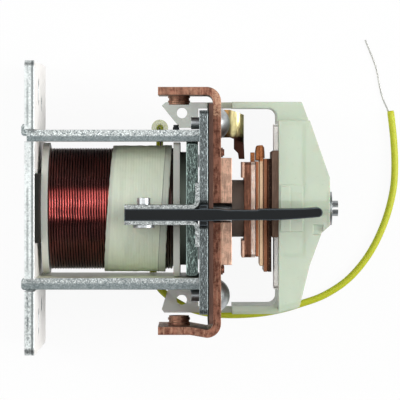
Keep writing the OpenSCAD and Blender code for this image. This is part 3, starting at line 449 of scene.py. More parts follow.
def sprung_brass(name, base, tail):
    """Smooth brass leaf, darker towards its tail, where its underside shows: painted shade."""
    s = Surface(name, metallic=0.95)
    draw = s.cloud(0.4, 3.0, (1, 0.1, 0.3))
    spots = s.cloud(1.6, 4.0)
    # The tail is painted dark: painted shade on its underside
    end_tone = (s.y + spots * 1.5).step(*HORN_TAIL)
    skin = s.mix(draw.step(0.42, 0.6) * 0.6, shade(base, 1.12), shade(base, 0.55))
    skin = s.mix(spots.step(0.55, 0.75) * 0.3, skin, shade(base, 0.55))
    skin = s.mix(end_tone, skin, tail)
    return s.paint(skin, 0.2 + spots * 0.25, draw, 0.02, 0.0002)


def leafed(name, finishes):
    """Rolled copper leaves with painted light and shade across them: a painted highlight where they
    bulge, painted shade browner and darker towards the back.
    """
    s = Surface(name, metallic=0.85)
    patch = s.cloud(3.0, 4.0, (1, 0.35, 1), 0.6)
    speck = s.cloud(0.5, 3.0)
    draw = s.cloud(0.5, 2.0, (1, 0.1, 1))
    across = s.x + (patch - 0.5) * 0.7
    # Across the leaves by x: painted highlight, then painted shade and shadow
    skin = s.mix(across.step(*LEAF_HIGHLIGHT), finishes.leaf, finishes.leaf_highlight)
    skin = s.mix(across.step(*LEAF_SHADE), skin, finishes.leaf_shaded)
    skin = s.mix(across.step(*LEAF_SHADOW), skin, finishes.leaf_shadow)
    skin = s.mix(speck.step(0.56, 0.74) * 0.3, skin, shade(finishes.leaf_highlight, 1.1))
    skin = s.mix(speck.step(0.42, 0.26) * 0.5, skin, shade(finishes.leaf_shaded, 0.5))
    tongue = s.mix(
        speck.step(0.35, 0.65), shade(finishes.tongue, 0.7), shade(finishes.tongue, 1.25))
    skin = s.mix((s.y + patch * 0.6).step(*TONGUE_Y) * s.x.step(*TONGUE_X), skin, tongue)
    return s.paint(skin, 0.28 + patch * 0.3, speck + draw * 0.6, 0.06, 0.0003)


def moulded(name, base, rough=0.42, mottle=0.25, glow=0.0, rounding=0.0003, clear=None,
            gloss=0.5, edge_highlight=1.25, patch=None):
    """Moulded plastic: faint flow marks, fine texture, specks of dirt, and edges painted lighter as
    painted highlight.

    A patch is a function that says where, and the colour that it has there.
    """
    s = Surface(name, metallic=0.0, subsurface_weight=glow, subsurface_scale=0.004,
                specular_ior_level=gloss)
    clear = clear(s) if callable(clear) else clear
    flow = s.cloud(9.0, 3.0, (1, 0.5, 1))
    grit = s.cloud(0.5, 3.0)
    spots = s.cloud(1.6, 5.0, roughness=0.7)
    skin = s.mix(flow.step(0.3, 0.7) * mottle, base, shade(base, 0.72))
    if patch is not None:
        share, tone = patch
        skin = s.mix(share(s), skin, tone)
    skin = s.mix(spots.step(0.6, 0.74) * 0.35, skin, shade(base, 0.55))
    # Edges painted lighter: painted highlight
    skin = s.mix(s.edges(rounding) * 0.5, skin, shade(base, edge_highlight))
    return s.paint(skin, rough + grit * 0.2, grit, 0.02, rounding, alpha=clear)


def laminated(name, base):
    """Pressed laminate or fibre: thin layers, dark spots, and paler edges, partly painted
    highlight.
    """
    s = Surface(name, metallic=0.0, specular_ior_level=0.25)
    rounding = 0.0002
    layer = s.cloud(0.35, 2.0, (1, 0.08, 0.08))
    spots = s.cloud(1.4, 5.0, roughness=0.7)
    skin = s.mix(layer.step(0.4, 0.65) * 0.6, base, shade(base, 1.6))
    skin = s.mix(spots.step(0.58, 0.75) * 0.5, skin, shade(base, 0.5))
    # Edges painted paler: partly painted highlight
    skin = s.mix(s.edges(rounding) * 0.3, skin, shade(base, 1.8))
    return s.paint(skin, 0.5 + spots * 0.25, layer + spots * 0.4, 0.03, rounding)


def enamelled(name, base):
    """Glossy dark red enamel: lighter and darker turns, partly painted highlight, lighter worn
    patches, and painted shade between the turns and at the sides.
    """
    s = Surface(name, metallic=0.95, coat_weight=0.5, coat_roughness=0.1)
    streak = s.cloud(3.0, 3.0, (1, 0.3, 0.3))
    rub = s.cloud(2.6, 4.0, (0.6, 1, 1), 0.6)
    up = s.z - AXIS.z
    out = (up * up + (s.y - AXIS.y) * (s.y - AXIS.y)) ** 0.5
    crest = out.step(CORE_R + 0.62, CORE_R + 0.98)
    # Lighter and darker turns, partly painted highlight
    skin = s.mix(streak.step(0.35, 0.65), shade(base, 0.85), shade(base, 1.5))
    skin = s.mix(rub.step(0.55, 0.75) * 0.35, skin, shade(base, 2.2))
    # Painted shade in the grooves between the turns
    skin = s.mix(crest, shade(base, 0.16), skin)
    # Darker away from the band of light along the coil, which lies 2.2 mm from its axis
    off = s.y - AXIS.y - 2.2
    skin = s.mix((off * off).step(22, 60) * 0.72, skin, (0.03, 0.018, 0.016))
    skin = s.mix(s.x.step(*SHADED_TURNS) * 0.93, skin, (0.03, 0.014, 0.012))
    return s.paint(skin, 0.14 + streak * 0.12, streak, 0.005)


def taped(name, base, turn_pitch):
    """Pale tape, greyer where it is thin, with a dark seam and the turns below as faint bars."""
    s = Surface(name, metallic=0.0, subsurface_weight=0.15, subsurface_scale=0.002,
                coat_weight=0.25)
    bars = ((s.x + s.cloud(6.0, 2.0) * 0.5) * (2 * math.pi / turn_pitch)).wave()
    veil = s.cloud(7.0, 4.0, (1, 0.3, 0.3))
    crease = s.cloud(2.4, 3.0, (1, 0.12, 0.12))
    fine = s.cloud(0.6, 4.0, (1, 0.3, 1))
    aside = s.y - AXIS.y
    left = (s.x - aside * LEFT_SLANT + veil * 1.6).step(WIND_X + 27.2, WIND_X + 26.4)
    right = (s.x - aside * SEAM_SLANT + fine * 0.4).step(-8.1, -7.9)
    skin = s.mix(bars.step(-0.2, 1.0) * 0.05, base, shade(base, 0.6))
    skin = s.mix(veil.step(0.35, 0.7) * 0.3, skin, shade(base, 0.82))
    # Darker along the creases: painted shade in the wrinkles
    skin = s.mix(crease.step(0.45, 0.7) * 0.35, skin, shade(base, 0.8))
    skin = s.mix(left * 0.5 + right * 0.7, skin, (0.42, 0.44, 0.40))
    seam = s.x - aside * SEAM_SLANT + veil * 0.5 + 7.75
    skin = s.mix((seam * seam).step(0.05, 0.0) * 0.7, skin, shade(base, 0.2))
    skin = s.mix(fine.step(0.6, 0.75) * 0.3, skin, shade(base, 1.15))
    return s.paint(skin, 0.34 + fine * 0.25, bars * 0.3 + crease * 0.8 + fine * 0.6, 0.06)


def insulated(name, base, clear=None):
    """Soft wire insulation with faint scuffs and grime."""
    s = Surface(name, metallic=0.0, subsurface_weight=0.1, subsurface_scale=0.001)
    grime = s.cloud(3.0, 5.0, roughness=0.7)
    fine = s.cloud(0.5, 3.0)
    skin = s.mix(grime.step(0.5, 0.75) * 0.5, base, shade(base, 0.72))
    skin = s.mix(fine.step(0.6, 0.8) * 0.3, skin, shade(base, 1.2))
    return s.paint(skin, 0.4 + grime * 0.2, fine, 0.02, alpha=clear)


def place(points):
    """Points of a route, in the frame and in metres."""
    return [(Vector(p) + SHIFT) * MM for p in points]


def linked(name, data):
    """A new object in the scene."""
    made = bpy.data.objects.new(name, data)
    bpy.context.scene.collection.objects.link(made)
    return made


def mesh_object(name, vertices, faces, material, smooth=True):
    mesh = bpy.data.meshes.new(name)
    mesh.from_pydata([tuple(v) for v in vertices], [], faces)
    mesh.update()
    mesh.polygons.foreach_set("use_smooth", [smooth] * len(mesh.polygons))
    mesh.materials.append(material)
    return linked(name, mesh)


def bmesh_object(name, work):
    """A new object made of a bmesh, which is freed."""
    mesh = bpy.data.meshes.new(name)
    work.to_mesh(mesh)
    work.free()
    return linked(name, mesh)


def apply_modifiers(made):
    """Turns the modifiers of an object into its mesh."""
    graph = bpy.context.evaluated_depsgraph_get()
    mesh = bpy.data.meshes.new_from_object(made.evaluated_get(graph))
    made.modifiers.clear()
    made.data = mesh


def joined(name, pieces):
    """Joins pieces into one."""
    layer = bpy.context.view_layer
    for piece in layer.objects:
        piece.select_set(piece in pieces)
    layer.objects.active = pieces[0]
    bpy.ops.object.join()
    pieces[0].name = name
    return pieces[0]


def around_axis(x, radius, turn):
    """A point at an angle around the coil's axis, in metres."""
    return (AXIS + Vector((x, radius * math.cos(turn), radius * math.sin(turn)))) * MM


def ring(name, rows, material, inside_out=False):
    """A closed ring of closed outlines; inside out, its faces look inwards."""
    n = len(rows[0])
    faces = []
    for k in range(len(rows)):
        m = (k + 1) % len(rows)
        for j in range(n):
            i = (j + 1) % n
            face = (k * n + j, m * n + j, m * n + i, k * n + i)
            faces.append((face[0], face[3], face[2], face[1]) if inside_out else face)
    return mesh_object(name, [v for row in rows for v in row], faces, material)


def tube(name, centres, radii, sides, material):
    """One unbroken tube along a line of points, closed at both ends.

    The radii are one number, or a list with one for each point.
    """
    centres = [Vector(c) for c in centres]
    last = len(centres) - 1
    up = None
    vertices, faces = [], []
    for i, centre in enumerate(centres):
        along = (centres[min(i + 1, last)] - centres[max(i - 1, 0)]).normalized()
        if up is None:
            up = along.orthogonal().normalized()
        up = (up - along * up.dot(along)).normalized()
        side = along.cross(up)
        radius = radii[i] if isinstance(radii, list) else radii
        for k in range(sides):
            turn = 2 * math.pi * k / sides
            vertices.append(centre + (up * math.cos(turn) + side * math.sin(turn)) * radius)
    for i in range(last):
        for k in range(sides):
            n = (k + 1) % sides
            low, high = i * sides, (i + 1) * sides
            faces.append((low + k, low + n, high + n, high + k))
    faces.append(tuple(reversed(range(sides))))
    faces.append(tuple(last * sides + k for k in range(sides)))
    return mesh_object(name, vertices, faces, material)


def smooth_line(points, steps):
    """Points on one smooth curve through the given ones."""
    points = [Vector(p) for p in points]
    last = len(points) - 1
    out = []
    for i in range(last):
        a, b, c, d = points[max(i - 1, 0)], points[i], points[i + 1], points[min(i + 2, last)]
        for k in range(steps):
            t = k / steps
            out.append(0.5 * (2 * b + (c - a) * t + (2 * a - 5 * b + 4 * c - d) * t ** 2
                              + (3 * b - a - 3 * c + d) * t ** 3))
    out.append(points[last])
    return out


# Height at which the lead's middle lies above the floor
LEAD_LEVEL = 1.51
# Route of the lead, from under the splice to its stripped end
LEAD_ROUTE = [
    (53.2, 33.6, 8.8), (53.2, 33.05, 6), (53.2, 31.45, 3.65), (53.1, 29.1, 2.05), (53, 26.3, 1.54),
    *((x, y, LEAD_LEVEL) for x, y in (
        (52.8, 22.4), (52.2, 15), (51.2, 4), (50.2, -8), (49.6, -20), (50.2, -28), (52.4, -34),
        (56, -38), (60.4, -41), (66, -43.8), (72.6, -45.6), (80, -46.4), (88.4, -46.4),
        (97, -45.7), (105, -44.2), (113, -41.9), (123.6, -38), (134, -31), (142.8, -20.4),
        (149.2, -7.4), (152.8, 5.4), (153.8, 16), (153.4, 28), (152, 41),
    )),
]
CONDUCTOR_ROUTE = [
    (151.2, 40.2, 1.3), (150.35, 42.5, 0.9), (149.1, 45.4, 0.42), (147.9, 49.2, 0.42),
    (147, 53.6, 0.42), (145.8, 59.6, 0.42), (143.8, 65, 0.42), (141.2, 71.4, 0.42),
]
END_WIRE_ROUTE = [
    (54.3, 17.99, 23.76), (54.06, 20.99, 21.25), (53.82, 24, 18.74), (53.5, 28, 15.4),
    (53.2, 32, 15.2), (53.2, 33.6, 13.6), (53.2, 33.6, 10.4),
]


def finish_cad(nodes, material):
    """Gives CAD pieces their material."""
    for name in nodes:
        for slot in frame["nodes"][name].material_slots:
            slot.material = material


class SOLENOID_OT_stage(bpy.types.Operator):
    """Sets up the pale floor, the soft lamps and the camera"""
    bl_idname = "solenoid.stage"
    bl_label = "Stage"

    def execute(self, context):
        scene = context.scene
        camera = linked("camera", bpy.data.cameras.new("camera"))
        camera.data.lens = 270.0
        camera.data.sensor_width = 36.0
        camera.data.shift_y = -0.125
        camera.data.clip_end = 10.0
        camera.location = Vector((7.66, 23.2, 1288.0)) * MM
        scene.camera = camera
        self.lamp("left", (-1.5, 0.5, 1.3), 0.9, 9.0)
        self.lamp("right", (1.7, 0.0, 1.0), 0.9, 24.0)
        self.room(scene)
        scene.view_settings.view_transform = "Standard"
        self.floor(scene.solenoid_finishes)
        return {"FINISHED"}

    def room(self, scene):
        """A dim room with one long soft box overhead, a little towards the upper terminal."""
        world = bpy.data.worlds.new("studio")
        world.use_nodes = True
        room = NodeTree(world.node_tree)
        way = room.node("ShaderNodeTexCoord", {}, {}, "Generated")
        lean = math.radians(10)
        aside = way.dot(Vector((0, math.cos(lean), -math.sin(lean))))
        along = way.dot(Vector((0, math.sin(lean), math.cos(lean))))
        glow = (aside * aside).step(0.2, 0.11) * along.step(0.3, 0.5)
        backdrop = room.tree.nodes["Background"]
        backdrop.inputs["Color"].default_value = (1, 1, 1, 1)
        room.tree.links.new((glow * 1.38 + 0.12).socket, backdrop.inputs["Strength"])
        scene.world = world

    def lamp(self, name, spot, size, power):
        """A square lamp that looks at the middle of the part."""
        lamp = linked(name, bpy.data.lights.new(name, "AREA"))
        lamp.data.size = size
        lamp.data.energy = power
        lamp.location = spot
        way = Vector((0, 0, 0.04)) - Vector(spot)
        lamp.rotation_euler = way.to_track_quat("-Z", "Y").to_euler()

    def floor(self, finishes):
        """A floor that the camera and mirrors see as white, and that takes soft shadows."""
        s = Surface("pale_floor", roughness=0.9)
        s.shader.inputs["Base Color"].default_value = (*finishes.floor, 1.0)
        path = s.node("ShaderNodeLightPath", {}, {}, None)
        seen = Field(s, path.outputs["Is Camera Ray"])
        mirrored = (Field(s, path.outputs["Is Glossy Ray"])
                    + Field(s, path.outputs["Is Transmission Ray"]))
        white = s.node("ShaderNodeEmission", {}, {"Color": (1, 1, 1), "Strength": 1.0})
        mix = s.node("ShaderNodeMixShader", {}, {0: seen * 0.93 + mirrored * 0.8, 2: white})
        s.tree.links.new(s.shader.outputs[0], mix.socket.node.inputs[1])
        s.tree.links.new(mix.socket, s.tree.nodes["Material Output"].inputs["Surface"])
        half, level = 6.0, -0.0002
        corners = [(x * half, y * half, level) for x, y in ((-1, -1), (1, -1), (1, 1), (-1, 1))]
        floor = mesh_object("floor", corners, [(0, 1, 2, 3)], s.material, False)


class SOLENOID_OT_lead(bpy.types.Operator):
    """Lays the yellow lead with its stripped end"""
    bl_idname = "solenoid.lead"
    bl_label = "Lead"

    def execute(self, context):
        sizes, finishes = context.scene.solenoid_sizes, context.scene.solenoid_finishes
        yellow = insulated("yellow_insulation", finishes.lead)
        tin = turned("tinned_strand", finishes.tin, 0.3, 0.0)
        line = smooth_line(place(LEAD_ROUTE), 8)
        radius = sizes.lead_diameter / 2
        radii = [radius] * len(line)
        radii[-1] = radius * 0.9
        lead = tube("lead", line, radii, 20, yellow)
        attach(lead, "frame")
        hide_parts("lead_sleeve")
        core = smooth_line(place(CONDUCTOR_ROUTE), 10)
        strands = self.strands(core, sizes.strand_diameter / 2, tin)
        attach(strands, "frame")
        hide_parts("lead_conductor")
        finish_cad(["splice_sleeve"], insulated("splice_plastic", finishes.splice, 0.42))
        run = sum((b - a).length for a, b in zip(line, line[1:]))
        return {"FINISHED"}

    def strands(self, core, radius, material):
        """Twisted strands, six around one."""
        around, twist = 6, 0.009
        pieces = []
        for k in range(around + 1):
            line = []
            run = 0.0
            for i, centre in enumerate(core):
                along = (core[min(i + 1, len(core) - 1)] - core[max(i - 1, 0)]).normalized()
                side = along.cross(Vector((0, 0, 1))).normalized()
                up = side.cross(along)
                if i:
                    run += (centre - core[i - 1]).length
                turn = 2 * math.pi * (k / around + run / twist)
                out = 0.0 if k == around else radius * 1.85
                line.append(centre + (side * math.cos(turn) + up * math.sin(turn)) * out)
            pieces.append(tube(f"strand_{k}", line, radius, 8, material))
        return joined("lead_strands", pieces)


class SOLENOID_OT_coil(bpy.types.Operator):
    """Winds the coil, its tape and its end wire"""
    bl_idname = "solenoid.coil"
    bl_label = "Coil"

    def execute(self, context):
        sizes, finishes = context.scene.solenoid_sizes, context.scene.solenoid_finishes
        enamel = enamelled("red_enamel", finishes.enamel)
        winding = self.winding(sizes, enamel)
        inner = self.inner_layers(enamel)
        for piece, node in ((winding, "coil_winding"), (inner, "winding_core")):
            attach(piece, "frame")
            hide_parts(node)
        tape = self.tape(sizes, taped("pale_tape", finishes.tape, sizes.wire_pitch / MM))
        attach(tape, "frame")
        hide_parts("coil_tape")
        end = tube("coil_end", smooth_line(place(END_WIRE_ROUTE), 6), 0.0003, 10,
                   enamelled("end_wire_enamel", shade(finishes.enamel, 0.6)))
        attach(end, "frame")
        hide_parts("coil_end_wire")
        return {"FINISHED"}

    def winding(self, sizes, material):
        """The outer layer, one unbroken wire with slightly uneven turns."""
        radius = sizes.wire_diameter / MM / 2
        pitch = sizes.wire_pitch / MM
        steps = 64
        draw = random.Random(7)
        uneven = [draw.uniform(-0.03, 0.03) for _ in range(sizes.wire_turns + 2)]
        start = WIND_X + (WIND_L - pitch * sizes.wire_turns) / 2
        line = []
        for i in range(sizes.wire_turns * steps + 1):
            turn = i / steps
            low = int(turn)
            share = turn - low
            shift = uneven[low] * (1 - share) + uneven[low + 1] * share
            around = 2 * math.pi * turn
            out = CORE_R + radius + 0.02 * math.sin(3 * around + 5 * shift)
            line.append(around_axis(start + pitch * turn + shift, out, around))
        return tube("winding", line, sizes.wire_diameter / 2, 10, material)

    def inner_layers(self, material):
        """Sleeve of inner layers, ribbed like the turns below the outer ones."""
        outline = [(0.0, BORE_R), (0.0, CORE_R - 0.4)]
        outline += [(0.4 + k * 0.504, CORE_R - 0.06 - 0.3 * (k % 2)) for k in range(101)]
        outline += [(WIND_L, CORE_R - 0.4), (WIND_L, BORE_R)]
        steps = 96
        rows = [[around_axis(WIND_X + x, r, 2 * math.pi * k / steps) for x, r in outline]
                for k in range(steps)]
        return ring("inner_layers", rows, material, inside_out=True)

    def tape(self, sizes, material):
        """Wrinkled tape with slanted edges and a seam where its end overlaps."""
        around_steps, across_steps = 200, 44
        wrinkle = sizes.tape_wrinkle / MM
        middle_r, largest_r, thinnest = 26.05, 26.46, 0.12
        rows = []
        for k in range(around_steps):
            turn = 2 * math.pi * k / around_steps
            way = Vector((0, math.cos(turn), math.sin(turn)))
            y = 25.2 * math.cos(turn)
            ragged = 0.18 * noise.noise(Vector((turn * 9, 3, 1)))
            left = TAPE_LEFT + LEFT_SLANT * y + ragged
            right = TAPE_RIGHT + RIGHT_SLANT * y + ragged
            seam = TAPE_SEAM + SEAM_SLANT * y
            outer, inner = [], []
            for j in range(across_steps + 1):
                x = left + (right - left) * j / across_steps
                bulge = noise.noise(Vector((x * 0.5, math.cos(turn) * 7, math.sin(turn) * 7)))
                crease = noise.noise(
                    Vector((x * 0.2 + 9, math.cos(turn) * 19, math.sin(turn) * 19)))
                lap = 0.14 * (1 / (1 + math.exp(-(x - seam) * 9)))
                rib = 0.03 * math.cos(2 * math.pi * x / (sizes.wire_pitch / MM))
                r = middle_r + wrinkle * (bulge + 0.6 * crease) + lap + rib
                r = min(largest_r, max(TAPE_BORE_R + thinnest, r))
                outer.append((AXIS + Vector((x, way.y * r, way.z * r))) * MM)
                inner.append((AXIS + Vector((x, way.y * TAPE_BORE_R, way.z * TAPE_BORE_R))) * MM)
            rows.append(outer + inner[::-1])
        return ring("tape", rows, material)


class SOLENOID_OT_springs(bpy.types.Operator):
    """Makes the return spring and the pack of leaf springs"""
    bl_idname = "solenoid.springs"
    bl_label = "Springs"

    def execute(self, context):
        sizes, finishes = context.scene.solenoid_sizes, context.scene.solenoid_finishes
        wire = sizes.spring_wire / MM
        low, high, radius, turns, steps, closed = -36.64, -15.24, 5.6, 7, 40, 0.9
        first, last, rise = low + wire / 2, high - wire / 2, high - low - wire
        reach = rise * (closed / turns)
        line = []
        for i in range(turns * steps + 1):
            turn = i / steps
            # Climbs evenly, and eases into the closed turn at each end
            share = min(turn, turns - turn) / closed
            if share >= 1:
                x = first + rise * turn / turns
            elif turn < turns / 2:
                x = first + reach * share ** 2
            else:
                x = last - reach * share ** 2
            line.append(around_axis(x, radius, 2 * math.pi * turn))
        spring = tube("coiled_spring", line, sizes.spring_wire / 2, 10,
                      turned("spring_wire", finishes.iron, 0.3, 0.0))
        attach(spring, "frame")
        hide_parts("return_spring")
        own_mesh(spring)
        leaves = self.leaves(sizes, finishes)
        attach(leaves, "plunger")
        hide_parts("leaf_pack")
        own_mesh(leaves)
        return {"FINISHED"}

    def leaves(self, sizes, finishes):
        """Four rolled leaves, a little bowed, with holes for the shaft; the second has a lug."""
        levels = [29, 33, 37, 42, 44, 46, 48, 50, 53, 56, 59]
        lug = slice(levels.index(42), levels.index(50) + 1)
        rows = 28
        material = leafed("leaf_copper", finishes)
        pieces = []
        for k, (low, high) in enumerate(LEAF_ENDS):
            x = (LEAF_X + k * LEAF_STEP) * MM
            work = bmesh.new()
            grid = []
            for i in range(rows + 1):
                y = (low + (high - low) * i / rows) * MM
                bow = 0.03 * MM * (2 * i / rows - 1) ** 2
                grid.append([work.verts.new((x + bow, y, z * MM)) for z in levels])
            self.panels(work, grid)
            if k == 1:
                grid = [grid[-1][lug]]
                grid += [[work.verts.new((grid[0][0].co.x, y * MM, z * MM)) for z in levels[lug]]
                         for y in (21.5, 23, 24.3, 25.2)]
                self.panels(work, grid)
                pieces.append(self.lug(material))
            leaf = bmesh_object(f"leaf_{k}", work)
            leaf.data.materials.append(material)
            self.thicken(leaf, sizes.leaf_thickness)
            pieces.append(leaf)
        return joined("leaf_springs", pieces)

    def thicken(self, leaf, thickness):
        """Gives a leaf its thickness, its hole and soft edges."""
        solid = leaf.modifiers.new("thickness", "SOLIDIFY")
        solid.thickness = thickness
        solid.offset = 1.0
        hole = self.drill()
        cut = leaf.modifiers.new("hole", "BOOLEAN")
        cut.operation = "DIFFERENCE"
        cut.object = hole
        cut.solver = "EXACT"
        soft = leaf.modifiers.new("edge", "BEVEL")
        soft.width = 0.00018
        soft.segments = 2
        apply_modifiers(leaf)
        bpy.data.objects.remove(hole)

    def lug(self, material):
        """Bent-over end of the second leaf, as a rounded tab that leans a little."""
        outline = [(30.5, 18.75), (30.5, 22.6), (30.75, 24.4), (31.2, 25.05), (32.4, 25.15),
                   (33.6, 24.9), (34.15, 24.3), (34.3, 22.4), (34.4, 19.85), (33.0, 19.85),
                   (31.9, 18.75)]
        middle = Vector((32.4, 22.4))
        levels = [42.2, 42.6, 45, 47, 49.3, 49.7]
        vertices = []
        for z in levels:
            inset = 0.35 if z in (levels[0], levels[-1]) else 0.0
            for outer in outline:
                spot = Vector(outer)
                spot += (middle - spot).normalized() * inset
                vertices.append(Vector((spot.x, spot.y, z)) * MM)
        n = len(outline)
        faces = [(r * n + k, r * n + (k + 1) % n, (r + 1) * n + (k + 1) % n, (r + 1) * n + k)
                 for r in range(len(levels) - 1) for k in range(n)]
        faces.append(tuple(range(n)))
        faces.append(tuple((len(levels) - 1) * n + k for k in reversed(range(n))))
        return mesh_object("leaf_lug", vertices, faces, material, False)

    def panels(self, work, grid):
        """Faces between the points of a grid."""
        for low, high in zip(grid, grid[1:]):
            for j in range(len(low) - 1):
                work.faces.new((low[j], high[j], high[j + 1], low[j + 1]))

    def drill(self):
        """A round bar on the coil's axis that cuts the shaft's hole."""
        work = bmesh.new()
        bmesh.ops.create_cone(
            work, cap_ends=True, segments=40, radius1=0.0035, radius2=0.0035, depth=0.03)
        drill = bmesh_object("drill", work)
        drill.rotation_euler = (0, math.pi / 2, 0)
        drill.location = (0.0334, AXIS.y * MM, AXIS.z * MM)
        return drill


class SOLENOID_OT_steel(bpy.types.Operator):
    """Finishes the plated and turned steel pieces"""
    bl_idname = "solenoid.steel"
    bl_label = "Steel"

    def execute(self, context):
        r, f = context.scene.solenoid_sizes.rounding, context.scene.solenoid_finishes
        finish_cad(["mounting_plate"],
                   plated("plate_zinc", shade(f.zinc, 1.25), shade(f.zinc_dark, 0.5), r,
                          sparkle=0.25, tone=sheared, pale=f.lit_face_colour, side=(1, 0, 0)))
        finish_cad(["upper_yoke_bar"],
                   plated("upper_bar_zinc", shade(f.zinc, 0.88), f.zinc_dark, r,
                          sparkle=0.9, tone=upper_bar_shade_and_heads, pale=f.lit_face_colour, side=(0, -1, 0)))
        # The lower bar is a darker copy of the same zinc: painted shade
        finish_cad(["lower_yoke_bar"],
                   plated("lower_bar_zinc", shade(f.zinc, 0.7), f.zinc_dark, r,
                          sparkle=0.9, tone=lower_bar_shade, pale=f.cream_reflection_colour, side=(0, 1, 0)))
        finish_cad(["pole_plate"],
                   plated("pole_zinc", shade(f.olive, 0.64), shade(f.olive, 0.1), r,
                          sparkle=1.0, glint=6.0, streaky=True))
        for side, share in (("upper", 0.55), ("lower", 0.46)):
            finish_cad([f"{side}_carrier_plate"],
                       plated(f"{side}_carrier_zinc", shade(f.grey_zinc, share),
                              shade(f.grey_zinc, 0.15), r, sparkle=1.0, glint=4.5, streaky=True))
        finish_cad(["upper_bracket", "lower_bracket"],
                   plated("bracket_zinc", shade(f.zinc, 0.58), shade(f.zinc_dark, 0.4), r * 0.6,
                          sparkle=0.7, glint=1.9))
        finish_cad(["core_screw"], plated("screw_zinc", f.zinc, f.zinc_dark, r * 0.6, sparkle=0.3))
        # The strip is painted pale, and white on its face that looks to -x: painted light and
        # reflection
        finish_cad(["steel_strip"],
                   plated("strip_zinc", f.lit_face_colour, f.zinc, r * 0.6,
                          sparkle=0.2, pale=(1, 1, 1), side=(-1, 0, 0), glint=1.0))
        finish_cad(["bracket_rivet"], turned("rivet_steel", f.bright, 0.25, r))
        finish_cad(["terminal_rivets"], turned("dull_rivet_steel", shade(f.bright, 0.85), 0.3, r))
        finish_cad(["plunger_shaft", "retaining_washer"],
                   turned("shaft_steel", shade(f.bright, 0.62), 0.28, r))
        finish_cad(["plunger", "fixed_core"], turned("soft_iron", f.iron, 0.38, r))
        return {"FINISHED"}


class SOLENOID_OT_copper(bpy.types.Operator):
    """Finishes the copper and brass pieces"""
    bl_idname = "solenoid.copper"
    bl_label = "Copper and brass"

    def execute(self, context):
        r, f = context.scene.solenoid_sizes.rounding, context.scene.solenoid_finishes

        # Lighter at the bend of the upper terminal: partly wear, partly painted highlight
        def worn_and_lit(s):
            return ((s.y + s.cloud(1.5, 3.0) * 4).step(*RUBBED_TAB_Y) * s.x.step(*RUBBED_TAB_X)
                    * s.cloud(1.0, 4.0).step(0.35, 0.6))

        def clean(s):
            return s.x.step(*CLEAN_TAB_X) * s.cloud(2.2, 4.0).step(0.35, 0.65) * 0.3

        finish_cad(["upper_terminal"],
                   bare_copper("upper_bar_copper", f.copper, f.copper_dark, r, f.tab,
                               worn=lambda s: worn_and_lit(s) + clean(s)))
        finish_cad(["lower_terminal"],
                   bare_copper("lower_bar_copper", f.copper, f.copper_dark, r, f.tab,
                               worn=clean))
        finish_cad(["contact_rivets"],
                   bare_copper("rivet_copper", f.copper, f.copper_dark, r * 0.6))
        finish_cad(["moving_contact"],
                   bare_copper("bridge_copper", f.bridge, shade(f.bridge, 0.6), r))
        # The backer's pale copper is a painted highlight
        finish_cad(["contact_backer"],
                   bare_copper("backer_copper", f.backer_highlight, shade(f.backer_highlight, 0.75), r, tip=f.tongue))
        finish_cad(["fixed_contacts", "contact_tips"],
                   bare_copper("contact_copper", f.contact, shade(f.contact, 0.6), r, f.contact))
        finish_cad(["guide_tube"],
                   bare_copper("dull_brass", f.brass, shade(f.brass, 0.6), r * 0.6,
                               shade(f.brass, 1.4)))
        finish_cad(["arc_horn"], sprung_brass("sprung_brass", f.brass, shade(f.copper_dark, 0.35)))
        return {"FINISHED"}


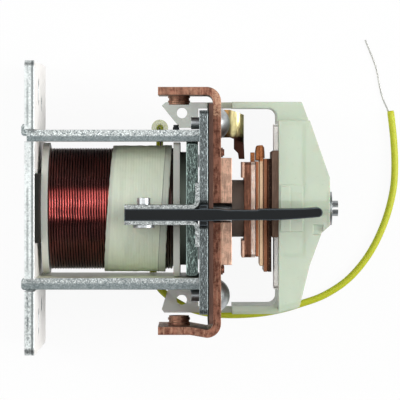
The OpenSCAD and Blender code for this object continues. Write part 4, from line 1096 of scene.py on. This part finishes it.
class SOLENOID_OT_mouldings(bpy.types.Operator):
    """Finishes the moulded and laminated pieces"""
    bl_idname = "solenoid.mouldings"
    bl_label = "Mouldings"

    def execute(self, context):
        f = context.scene.solenoid_finishes

        def lower_ear(s):
            return s.y.step(*LOWER_EAR_Y) * s.x.step(*LOWER_EAR_X)

        def clear(s):
            return 0.43 + s.x.step(*DENSE_NYLON) * 0.27 + lower_ear(s) * 0.33

        # The lower ear is painted lighter: painted light that comes through the thin nylon
        finish_cad(["contact_carrier"],
                   moulded("pale_nylon", f.nylon, 0.3, 0.2, glow=0.2, rounding=0.0005, clear=clear,
                           patch=(lambda s: lower_ear(s) * 0.9, shade(f.nylon, 1.7))))
        # The right flange is painted darker: painted shade beside the pole plate
        finish_cad(["coil_bobbin"],
                   moulded("bobbin_moulding", f.bobbin, 0.45, 0.3, glow=0.1, clear=0.85,
                           patch=(lambda s: s.x.step(*RIGHT_FLANGE_SHADE) * 0.5, shade(f.bobbin, 0.5))))
        finish_cad(["coil_end_ring"], moulded("end_ring_moulding", f.ring, 0.5, 0.4))
        finish_cad(["contact_hub"], moulded("hub_moulding", f.grey, 0.5, 0.4))
        # Light lines along the black barrier's edges: painted highlight
        finish_cad(["barrier_blade"],
                   moulded("black_barrier", f.barrier, 0.3, 0.3, rounding=0.001, gloss=0.15,
                           edge_highlight=30.0))
        finish_cad(["bar_clip"], moulded("black_clip", f.barrier, 0.45, 0.3, gloss=0.3, edge_highlight=4.0))
        finish_cad(["spacer_strip", "insulation_sheet"], laminated("black_fibre", f.fibre))
        finish_cad(["insulator_board"], laminated("brown_laminate", f.laminate))
        finish_cad(["backing_plate"], laminated("light_laminate", f.backing))
        return {"FINISHED"}


class SOLENOID_PT_panel(bpy.types.Panel):
    """Steps that make the looks, in order"""
    bl_label = "Starter solenoid"
    bl_idname = "SOLENOID_PT_panel"
    bl_space_type = "VIEW_3D"
    bl_region_type = "UI"
    bl_category = "Solenoid"

    def draw(self, context):
        for group in (context.scene.solenoid_sizes, context.scene.solenoid_finishes):
            box = self.layout.box()
            for key in group.bl_rna.properties.keys():
                if key not in {"rna_type", "name"}:
                    box.prop(group, key)
        for step in STEPS:
            self.layout.operator(step.bl_idname)


STEPS = (SOLENOID_OT_stage, SOLENOID_OT_lead, SOLENOID_OT_coil, SOLENOID_OT_springs,
         SOLENOID_OT_steel, SOLENOID_OT_copper, SOLENOID_OT_mouldings)
CLASSES = (SolenoidSizes, SolenoidFinishes, *STEPS, SOLENOID_PT_panel)


def register():
    for made in CLASSES:
        bpy.utils.register_class(made)
    bpy.types.Scene.solenoid_sizes = bpy.props.PointerProperty(type=SolenoidSizes)
    bpy.types.Scene.solenoid_finishes = bpy.props.PointerProperty(type=SolenoidFinishes)


def unregister():
    del bpy.types.Scene.solenoid_finishes
    del bpy.types.Scene.solenoid_sizes
    for made in reversed(CLASSES):
        bpy.utils.unregister_class(made)


def main():
    register()
    bpy.ops.solenoid.stage()
    bpy.ops.solenoid.lead()
    bpy.ops.solenoid.coil()
    bpy.ops.solenoid.springs()
    bpy.ops.solenoid.steel()
    bpy.ops.solenoid.copper()
    bpy.ops.solenoid.mouldings()


if __name__ == "__main__":
    main()
